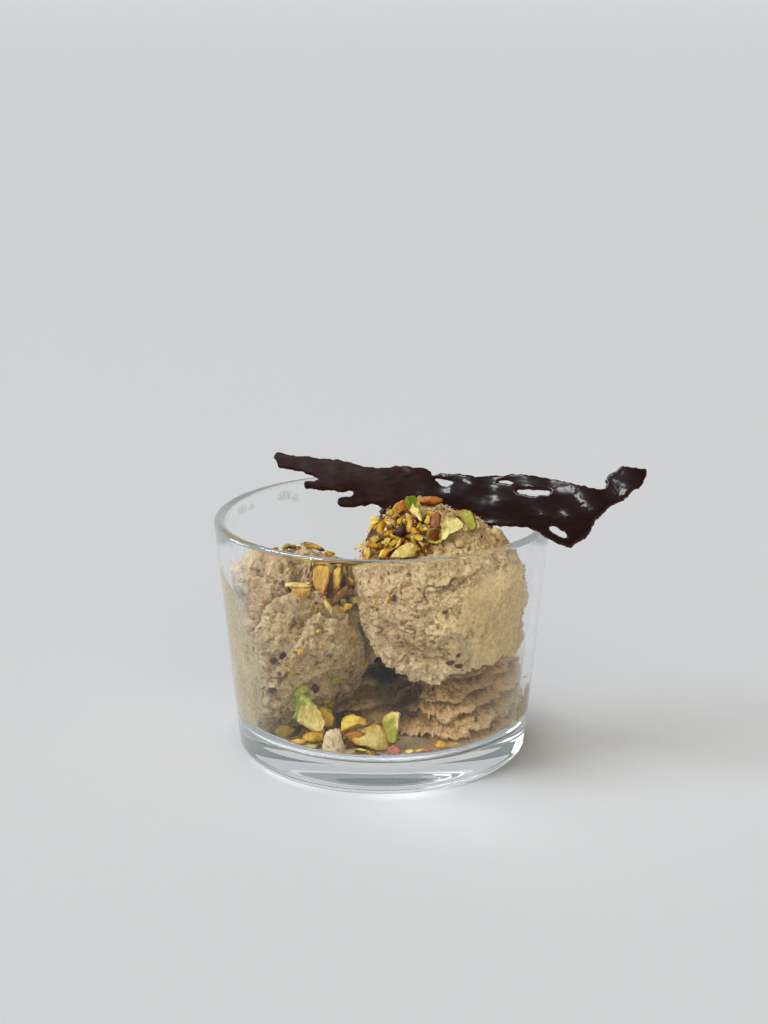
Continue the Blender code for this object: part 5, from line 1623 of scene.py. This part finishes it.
looseCream = {
    "flakes": 420, "grains": 1500, "fringe": 130,
    "tries": 12,  # places drawn for each flake, of which the ones on a lip are kept
    "lip": 0.90,  # share of the places that stand out less
    "free": 0.1,  # the most that a place may be pressed on the glass
    "aside": 0.02,  # step in which the slope is measured, for a ball of size one
    "flakeLengths": (0.8, 1.8),  # least, and how much more
    "flakeWidths": (0.5, 0.9),  # shares of the length
    "flakeThick": (0.3, 0.6),
    "grainSizes": (0.5, 1.3),
    "grainSides": (0.6, 1.0),
    "relief": (0.58, 0.3, 1.2),  # middle, swing and size of its patches
}


def addCream(pile, middles, frames, sizes, steps, seed, edge):
    placed, faces, _, _ = choppedPieces(
        middles, frames, sizes, steps, seed, np.zeros(len(middles)), edge)
    pile.append((clearOfGlass(placed).reshape(-1, 3), faces))


def surfaceFrames(piece, form, directions):
    # points of the finished form and the way straight out of it, from two short steps aside
    helper = unit(np.cross(directions, directions[:, [1, 2, 0]] + 0.3))
    other = np.cross(directions, helper)
    points, _, pressed = scoopPoints(directions, piece, form, fine=False)
    beside, behind = (
        scoopPoints(unit(directions + step * looseCream["aside"]), piece, form, fine=False)[0]
        for step in (helper, other))
    outward = unit(np.cross(beside - points, behind - points) + directions * 1e-6)
    outward *= np.sign(np.sum(outward * directions, axis=1, keepdims=True))
    return points, outward, pressed


def makeLooseCream():
    # torn flakes along the ledges and the skirt, and grains over all of the ice cream
    draw = np.random.default_rng(70)
    pile = []
    free = looseCream["free"]
    for piece, form, kind in ((tornBase, baseForm, "flakes"), (rightScoop, rightForm, "fringe")):
        wanted = looseCream[kind]
        directions = unit(draw.normal(size=(wanted * looseCream["tries"], 3)))
        _, raised = form(directions, piece)
        points, outward, pressed = surfaceFrames(piece, form, directions)
        lip = raised > np.quantile(raised, looseCream["lip"])
        chosen = np.flatnonzero(lip & (pressed < free))[:wanted]
        count = len(chosen)
        least, more = looseCream["flakeLengths"]
        length = least + more * draw.uniform(size=count) ** 2
        width = length * draw.uniform(*looseCream["flakeWidths"], count)
        thick = length * draw.uniform(*looseCream["flakeThick"], count)
        away = unit(outward[chosen] + draw.normal(size=(count, 3)) * 0.35 + [0, 0, 0.5])
        frames = frameFrom(away, draw.uniform(0, 360, size=count), draw.normal(size=count) * 20)
        addCream(pile, points[chosen] + outward[chosen] * 0.15, frames,
                 np.stack([length, width, thick], axis=1), 3, 71, 12)
    for piece, form in ((rightScoop, rightForm), (leftScoop, leftForm), (tornBase, baseForm)):
        directions = unit(draw.normal(size=(looseCream["grains"] // 3, 3)))
        points, outward, pressed = surfaceFrames(piece, form, directions)
        chosen = pressed < free
        count = int(chosen.sum())
        sizes = draw.uniform(*looseCream["grainSizes"], size=(count, 1))
        sizes = sizes * draw.uniform(*looseCream["grainSides"], size=(count, 3))
        spin = draw.uniform(0, 360, size=count)
        frames = frameFrom(outward[chosen], spin, draw.normal(size=count) * 40)
        addCream(pile, points[chosen] + outward[chosen] * 0.3, frames, sizes, 2, 72, 7)
    points = np.concatenate([part[0] for part in pile])
    middle, swing, size = looseCream["relief"]
    relief = middle + swing * waveNoise(points, size, 73)
    none = np.zeros(len(points))
    values = {"relief": relief, "pressed": none, "calm": none,
              "tint": creamTint(points, rightScoop, none)}
    meshPiece("looseCream", points, joined(pile, 1), creamMaterial, values)


makeLooseCream()

creamDabsAndShade = {
    # middle, half sizes and tint: the dab on the front wall, then the thin melt on the floor, of
    # which the last two are dark as painted shade under the heap and the left scoop
    "places": (
        ((-11.2, -29.6, 12.0), (2.5, 1.6, 4.1), (1.14, 1.14, 1.20)),
        ((-10.2, -29.2, 9.2), (3.6, 1.8, 1.6), (1.0, 0.95, 0.95)),
        ((15.0, -20.5, 8.2), (15.0, 9.0, 0.30), (0.72, 0.74, 0.66)),
        ((-10.0, -21.0, 8.3), (13.0, 9.0, 0.8), (0.36, 0.34, 0.18)),
        ((-18.5, -10.0, 8.3), (11.0, 11.0, 1.2), (0.30, 0.28, 0.14)),
    ),
    "ragged": 0.14,
    "crumb": 0.8,  # share of the ice cream's relief, less on dabs thinner than the second number
    "crumbFrom": 2.4,
    "relief": (0.78, 0.25, 1.6),  # middle, swing and size of its patches
    "pressed": 0.6,
    "steps": 40,
}


def makeDabs():
    # ovals, half sizes * (1 + ragged noise), kept in the glass
    directions, quads = cubeBall(creamDabsAndShade["steps"])
    parts = []
    for number, (middle, half, _) in enumerate(creamDabsAndShade["places"]):
        ragged = layeredNoise(directions + number * 3.1, 0.8, 4, 0.6, 80 + number)
        edge = 1 + creamDabsAndShade["ragged"] * ragged
        points = np.array(middle) + directions * np.array(half) * edge[:, None]
        relief = crumbRelief(points, 81)[0][:, None]
        share = min(1.0, min(half) / creamDabsAndShade["crumbFrom"])
        points = points + directions * relief * share * creamDabsAndShade["crumb"]
        parts.append(keepInGlass(points))
    faces = np.concatenate([quads + len(directions) * number for number in range(len(parts))])
    points = np.concatenate([part[0] for part in parts])
    pressed = np.concatenate([part[1] for part in parts])
    middle, swing, size = creamDabsAndShade["relief"]
    values = {"relief": middle + swing * layeredNoise(points, size, 2, 0.5, 82),
              "pressed": pressed * creamDabsAndShade["pressed"], "calm": np.zeros(len(points)),
              "tint": np.repeat([dab[2] for dab in creamDabsAndShade["places"]], len(directions), axis=0)}
    meshPiece("creamDabsAndShade", points, faces, creamMaterial, values)


makeDabs()

smearsAndPaintedGlare = {
    # thin dried smears near the rim, then painted reflections on the left wall and painted
    # highlight streaks on the right wall: bearing, height, half width, half height and cover
    "places": (
        (157, 57.6, 3.0, 1.2, 0.30), (150, 57.0, 1.6, 0.8, 0.25), (131, 57.4, 2.6, 1.5, 0.34),
        (126, 56.2, 1.4, 1.0, 0.28), (213, 58.0, 1.5, 0.9, 0.3), (206, 57.2, 0.9, 0.7, 0.3),
        # painted reflection, a pale haze on the left wall
        (-160, 47.0, 3.5, 10.0, 0.16), (-152, 51.0, 4.5, 6.0, 0.14), (-150, 42.0, 2.5, 6.0, 0.12),
        # painted highlight streaks on the right wall
        (-22, 25.0, 1.0, 3.5, 0.55), (-25.5, 18.0, 1.1, 4.0, 0.55), (-24, 31.0, 0.8, 3.0, 0.3),
    ),
    "ragged": 0.35,
    "bite": 0.01,  # how far they reach into the wall
    "thickness": 0.1,
    "steps": 14,
}


def makeSmearsAndPaintedGlare():
    # ragged ovals on the inner wall, half sizes * (1 + ragged noise), and clearer at their edge
    directions, quads = cubeBall(smearsAndPaintedGlare["steps"])
    middle = np.clip(1 - np.hypot(directions[:, 0], directions[:, 1]) ** 2, 0, 1) ** 0.7
    parts = []
    for number, (bearing, height, wide, high, _) in enumerate(smearsAndPaintedGlare["places"]):
        ragged = layeredNoise(directions + number * 2.3, 0.7, 4, 0.6, 90 + number)
        edge = 1 + smearsAndPaintedGlare["ragged"] * ragged
        z = height + directions[:, 1] * high * edge
        inward = smearsAndPaintedGlare["thickness"] / 2 * (1 + directions[:, 2])
        radius = wallRadius(z) + smearsAndPaintedGlare["bite"] - inward
        turn = math.radians(bearing) + directions[:, 0] * wide * edge / wallRadius(height)
        parts.append(np.stack([np.cos(turn) * radius, np.sin(turn) * radius, z], axis=1))
    faces = np.concatenate([quads + len(directions) * number for number in range(len(parts))])
    film = np.concatenate([middle * smear[4] for smear in smearsAndPaintedGlare["places"]])
    meshPiece("smearsAndPaintedGlare", np.concatenate(parts), faces, filmMaterial, {"film": film})


makeSmearsAndPaintedGlare()


# Chocolate shard, in millimetres: s along it and w across it from where it meets the rim

shard = {
    "onRim": np.array([35.4, -17.7, 61.5]),
    "heading": math.radians(-25),
    "lean": math.radians(55),
    "thickness": 1.15,
    "cell": 0.26,
    "span": (-75.0, 27.0),
    "breadth": (-6.0, 22.0),
    "roundEdge": 0.55,
    # height, wavelength and where it starts or how it slants, of the sheet's waves
    "crown": (1.5, 38.0, 6.5),
    "swell": (0.8, 46.0, 0.8),
    "ripple": (0.35, 15.0, 21.0),
    "lowered": 0.6,
    # height and size of the outline's raggedness, the face's bumps and its fine dimples
    "ragged": ((0.35, 2.2), (0.16, 0.95)),
    "bumps": ((0.42, 4.4), (0.05, 1.5)),
    "dimples": (0.04, 0.55),
    "thickSpread": 0.25,
    "glossFrom": (-36, -22),  # where it grows shiny along it
    "outline": (
        (-71.8, 12.6), (-68.7, 11.6), (-60.9, 12.1), (-51.9, 11.8), (-47.1, 10.4), (-40.2, 11.0),
        (-37.7, 11.8), (-30.2, 12.1), (-28.8, 11.7), (-28.2, 10.6), (-25.3, 11.9), (-17.6, 11.7),
        (-12.4, 12.8), (-5.8, 13.5), (3.5, 13.0), (8.8, 12.3), (12.4, 11.7), (15.1, 11.9),
        (16.2, 12.9), (15.1, 14.4), (15.4, 15.8), (17.6, 17.6), (18.6, 18.9), (22.0, 19.2),
        (24.6, 18.8), (24.3, 13.6), (22.3, 12.3), (21.2, 10.2), (18.9, 8.4), (17.1, 5.9),
        (15.6, 3.2), (15.0, 0.5), (12.2, -1.5), (11.0, -3.2), (8.9, -3.2), (5.3, -2.1),
        (2.9, -1.0), (-0.9, 0.4), (-3.6, 0.2), (-10.7, -0.4), (-37.3, -0.7), (-40.2, 1.1),
        (-42.1, 1.1), (-44.1, 0.4), (-50.2, -0.4), (-51.2, 0.2), (-51.7, 2.1), (-47.3, 2.8),
        (-47.6, 3.9), (-60.3, 3.0), (-61.2, 3.3), (-61.7, 4.9), (-57.0, 6.0), (-61.8, 7.1),
        (-66.9, 8.2), (-69.8, 7.6), (-71.0, 9.7), (-72.7, 10.4),
    ),
    "holes": (
        ((-28.1, 10.1), (-24.5, 7.7), (-21.6, 9.6)),
        ((-11.5, 11.2), (-8.8, 10.6), (-6.2, 10.8), (-8.9, 11.6)),
        ((-5.9, 9.2), (-4.3, 8.1), (-0.9, 7.8), (2.7, 8.7), (3.0, 9.7), (-0.8, 9.6)),
        ((4.4, 0.8), (6.2, 1.2), (8.8, 0.1), (9.5, -0.8), (8.2, -1.2), (5.9, -0.4)),
    ),
}


def edgeDistance(points, loops):
    # way to the nearest outline, positive inside: inside is an odd number of edges to one side
    nearest = np.full(len(points), 1e9)
    crossings = np.zeros(len(points), int)
    for loop in loops:
        start = np.array(loop)
        way = np.roll(start, -1, axis=0) - start
        offset = points[:, None] - start
        share = np.clip(np.sum(offset * way, axis=2) / np.sum(way * way, axis=1), 0, 1)
        gap = np.linalg.norm(offset - share[..., None] * way, axis=2)
        nearest = np.minimum(nearest, gap.min(axis=1))
        above = points[:, None, 1] >= start[:, 1]
        aboveNext = points[:, None, 1] >= (start + way)[:, 1]
        steep = np.where(way[:, 1] == 0, 1e-9, way[:, 1])
        crossX = start[:, 0] + offset[..., 1] / steep * way[:, 0]
        crossings += ((above != aboveNext) & (points[:, None, 0] < crossX)).sum(axis=1)
    return np.where(crossings % 2 == 1, nearest, -nearest)


def softLoop(loop, times=2):
    # each side keeps its middle three fifths and its corners are cut off, so that it is rounded
    points = np.array(loop)
    for _ in range(times):
        ahead = np.roll(points, -1, axis=0)
        points = np.stack([0.8 * points + 0.2 * ahead, 0.2 * points + 0.8 * ahead], axis=1)
        points = points.reshape(-1, 2)
    return points


def shardWave(s, w):
    # height of the sheet: the cosine of a crown across it, sines of long waves along it that grow
    # across it, and sines of short slanting ripples
    turn = 2 * math.pi
    height, length, middle = shard["crown"]
    crown = height * np.cos(turn * (w - middle) / length)
    height, length, start = shard["swell"]
    swell = height * np.sin(turn * s / length + start) * (0.4 + 0.05 * w)
    height, length, slant = shard["ripple"]
    ripple = height * np.sin(turn * (s / length + w / slant))
    return crown + swell + ripple - shard["lowered"]


def makeShard():
    # the sheet's grid with its border points drawn to the ragged outline; from there the half
    # thickness rises as the square root of 1 - (1 - way in / roundEdge)^2 on both sides of the wave
    cell = shard["cell"]
    loops = [softLoop(loop) for loop in (shard["outline"], *shard["holes"])]
    s, w = np.meshgrid(
        np.arange(*shard["span"], cell), np.arange(*shard["breadth"], cell), indexing="ij")
    flat = np.stack([s, w], axis=-1)
    sheet = np.stack([s, w, 0 * s], axis=-1)
    (coarse, size), (fine, finer) = shard["ragged"]
    ragged = coarse * waveNoise(sheet, size, 60)
    ragged += (fine + fine * smooth(5, 15, s)) * waveNoise(sheet, finer, 61)
    inside = edgeDistance(flat.reshape(-1, 2), loops).reshape(s.shape) + ragged
    slope = np.stack(np.gradient(inside, cell), axis=-1)
    slope /= np.maximum(np.sum(slope**2, axis=-1, keepdims=True), 0.3)
    snapped = np.abs(inside) < 0.55 * cell
    flat = np.where(snapped[..., None], flat - slope * inside[..., None], flat)
    depth = np.where(snapped, 0.0, inside)
    good = depth >= 0
    number = np.cumsum(good.ravel()).reshape(good.shape) - 1
    # cells with four good corners become quads and those with three become triangles
    less, more = slice(None, -1), slice(1, None)
    corners = ((less, less), (more, less), (more, more), (less, more))
    have = np.stack([good[c] for c in corners], axis=-1)
    index = np.stack([number[c] for c in corners], axis=-1)
    quads = index[have.all(axis=-1)]
    tris = np.concatenate([
        index[have[..., keep].all(axis=-1) & ~have[..., miss]][:, keep]
        for miss, keep in ((0, [1, 2, 3]), (1, [0, 2, 3]), (2, [0, 1, 3]), (3, [0, 1, 2]))])
    used = np.zeros(good.sum(), bool)
    used[np.concatenate([quads.ravel(), tris.ravel()])] = True
    renumber = np.cumsum(used) - 1
    quads, tris = renumber[quads], renumber[tris]
    spots = flat[good][used]
    depth = depth[good][used]
    place = np.concatenate([spots, np.zeros((len(spots), 1))], axis=1)
    thick = shard["thickness"] * (1 + shard["thickSpread"] * waveNoise(place, 6.0, 62))
    edge = np.clip(depth / shard["roundEdge"], 0, 1)
    half = thick / 2 * np.sqrt(1 - (1 - edge) ** 2)
    wave = shardWave(spots[:, 0], spots[:, 1])
    gloss = smooth(*shard["glossFrom"], spots[:, 0] + 4 * waveNoise(place, 8.0, 63))
    (coarse, size), (fine, finer) = shard["bumps"]
    bumps = coarse * waveNoise(place * [0.45, 1, 1], size, 64)
    bumps = bumps + fine * waveNoise(place * [0.6, 1, 1], finer, 65)
    height, size = shard["dimples"]
    dimples = height * waveNoise(place, size, 66)
    dimples = dimples * smooth(-0.1, 0.5, waveNoise(place, 5.0, 67)) * gloss
    faceSide = wave + bumps * (0.6 + 0.6 * gloss) * edge + dimples * edge
    # painted light shining through the thin edge, stronger on the shiny part
    thin = smooth(0.45, 0.0, depth) * (0.25 + 0.75 * gloss)
    border = depth <= 0
    count = len(spots)
    backIndex = np.where(border, np.arange(count), count + np.cumsum(~border) - 1)
    upper = np.concatenate([spots, (faceSide + half)[:, None]], axis=1)
    lower = np.concatenate([spots, (wave + bumps * 0.5 * edge - half)[:, None]], axis=1)[~border]
    local = np.concatenate([upper, lower])
    h, lean = shard["heading"], shard["lean"]
    along = np.array([math.cos(h), math.sin(h), 0])
    level = np.array([-along[1], along[0], 0])
    across = level * math.cos(lean) + np.array([0, 0, math.sin(lean)])
    points = shard["onRim"] + local @ np.stack([along, across, np.cross(along, across)])
    faces = [np.concatenate([part, backIndex[part][:, ::-1]]) for part in (quads, tris)]
    values = {"gloss": np.concatenate([gloss, gloss[~border]]),
              "rim": np.concatenate([thin, thin[~border]])}
    piece = meshPiece("chocolateShard", points, faces, chocolateMaterial, values)
    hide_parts("chocolate_shard")


makeShard()


# Studio: pale sheet that curves up behind, soft light, and the photograph's camera

studio = {
    "sheet": {"Roughness": 0.9, "Specular IOR Level": 0.2, "Base Color": (0.665, 0.67, 0.675, 1)},
    "front": -8.0,
    "bend": 5.2,
    "bendRadius": 0.8,
    "wallTop": 2.6,
    "halfWidth": 8.0,
    "steps": (24, 20, 12),  # along the floor, round the bend, and up the wall and across
    "under": 0.00012,  # how far it lies below the glass, so that the two never coincide
    "world": (0.300, 0.284, 0.245),
    "mirrored": (0.055, 0.060, 0.060),  # what the glass and the chocolate reflect
    "worldSeen": (0.215, 0.262, 0.255),  # what shows through the glass
    "aim": (0, 0, 0.04),
    "lens": 77.41,
    "cameraPlace": (0.000445, -0.52173, 0.20406),
    "cameraTilt": 74.66,  # degrees up from straight down
}


def makeSheet():
    # a level floor, a quarter circle and an upright wall, carried straight across
    floorSteps, bendSteps, wallSteps = studio["steps"]
    turn = np.linspace(0, math.pi / 2, bendSteps)[1:]
    wallZ = np.linspace(studio["bendRadius"], studio["wallTop"], wallSteps)[1:]
    y = np.concatenate([
        np.linspace(studio["front"], studio["bend"], floorSteps),
        studio["bend"] + studio["bendRadius"] * np.sin(turn),
        np.full(len(wallZ), studio["bend"] + studio["bendRadius"])])
    z = np.concatenate([
        np.zeros(floorSteps), studio["bendRadius"] * (1 - np.cos(turn)), wallZ]) - studio["under"]
    x = np.linspace(-studio["halfWidth"], studio["halfWidth"], wallSteps)
    points = np.stack([np.repeat(x, len(y)), np.tile(y, len(x)), np.tile(z, len(x))], axis=1)
    row = np.arange(len(y) - 1)
    start = (np.arange(len(x) - 1)[:, None] * len(y) + row).ravel()
    quads = np.stack([start, start + len(y), start + len(y) + 1, start + 1], axis=1)
    mesh = bpy.data.meshes.new("paleSheet")
    mesh.from_pydata(points.tolist(), [], quads.tolist())
    mesh.shade_smooth()
    mesh.materials.append(newMaterial("paleSheet", studio["sheet"])[0])
    sheet = bpy.data.objects.new("paleSheet", mesh)
    scene.collection.objects.link(sheet)


# suns light the scene and aren't seen; windows are seen in the glass and light nothing else
lights = {
    "daylight": {"kind": "SUN", "place": (-0.78, -0.26, 0.85), "spread": 38, "power": 1.88,
                 "colour": (0.925, 0.98, 1.115)},
    "frontLight": {"kind": "SUN", "place": (-0.14, -0.84, 0.78), "spread": 70, "power": 1.22,
                   "colour": (1.03, 1.0, 0.94)},
    "highWindow": {"kind": "AREA", "place": (-0.50, 0.30, 0.95), "size": (0.30, 0.45),
                   "power": 10.0, "colour": (0.95, 0.98, 1.0)},
    "crestWindow": {"kind": "AREA", "place": (-0.46, -0.16, 0.84), "size": (0.14, 0.20),
                    "power": 3.3, "colour": (0.97, 0.99, 1.0)},
    "lowWindow": {"kind": "AREA", "place": (-1.05, 0.45, 0.32), "size": (0.35, 0.5),
                  "power": 5.0, "colour": (0.93, 0.97, 1.0)},
}


def aimed(thing, place):
    # put at its place and turned so that it shines at the middle of the bowl
    way = np.array(studio["aim"], float) - place
    level = math.hypot(way[0], way[1])
    thing.location = place
    thing.rotation_euler = (math.pi / 2 + math.atan2(way[2], level), 0, math.atan2(-way[0], way[1]))


def makeLights():
    for name, light in lights.items():
        lamp = bpy.data.lights.new(name, light["kind"])
        sun = light["kind"] == "SUN"
        if sun:
            lamp.angle = math.radians(light["spread"])
        else:
            lamp.shape = "RECTANGLE"
            lamp.size, lamp.size_y = light["size"]
        lamp.energy = light["power"]
        lamp.color = light["colour"]
        thing = bpy.data.objects.new(name, lamp)
        scene.collection.objects.link(thing)
        thing.visible_diffuse = sun
        thing.visible_glossy = thing.visible_transmission = not sun
        aimed(thing, light["place"])
    world = bpy.data.worlds.new("softRoom")
    world.use_nodes = True
    tree = world.node_tree
    path = addNode(tree, "LightPath").outputs
    colour = mixColour(tree, path["Is Glossy Ray"], studio["world"], studio["mirrored"])
    colour = mixColour(tree, path["Is Transmission Ray"], colour, studio["worldSeen"])
    tree.links.new(colour, tree.nodes["Background"].inputs["Color"])
    scene.world = world


def makeCamera():
    camera = bpy.data.cameras.new("camera")
    camera.lens = studio["lens"]
    camera.sensor_width = 36
    camera.clip_start = 0.01
    thing = bpy.data.objects.new("camera", camera)
    scene.collection.objects.link(thing)
    thing.location = studio["cameraPlace"]
    thing.rotation_euler = (math.radians(studio["cameraTilt"]), 0, 0)
    scene.camera = thing


makeSheet()
makeLights()
makeCamera()
scene.view_settings.view_transform = "Standard"
print("studio ready")
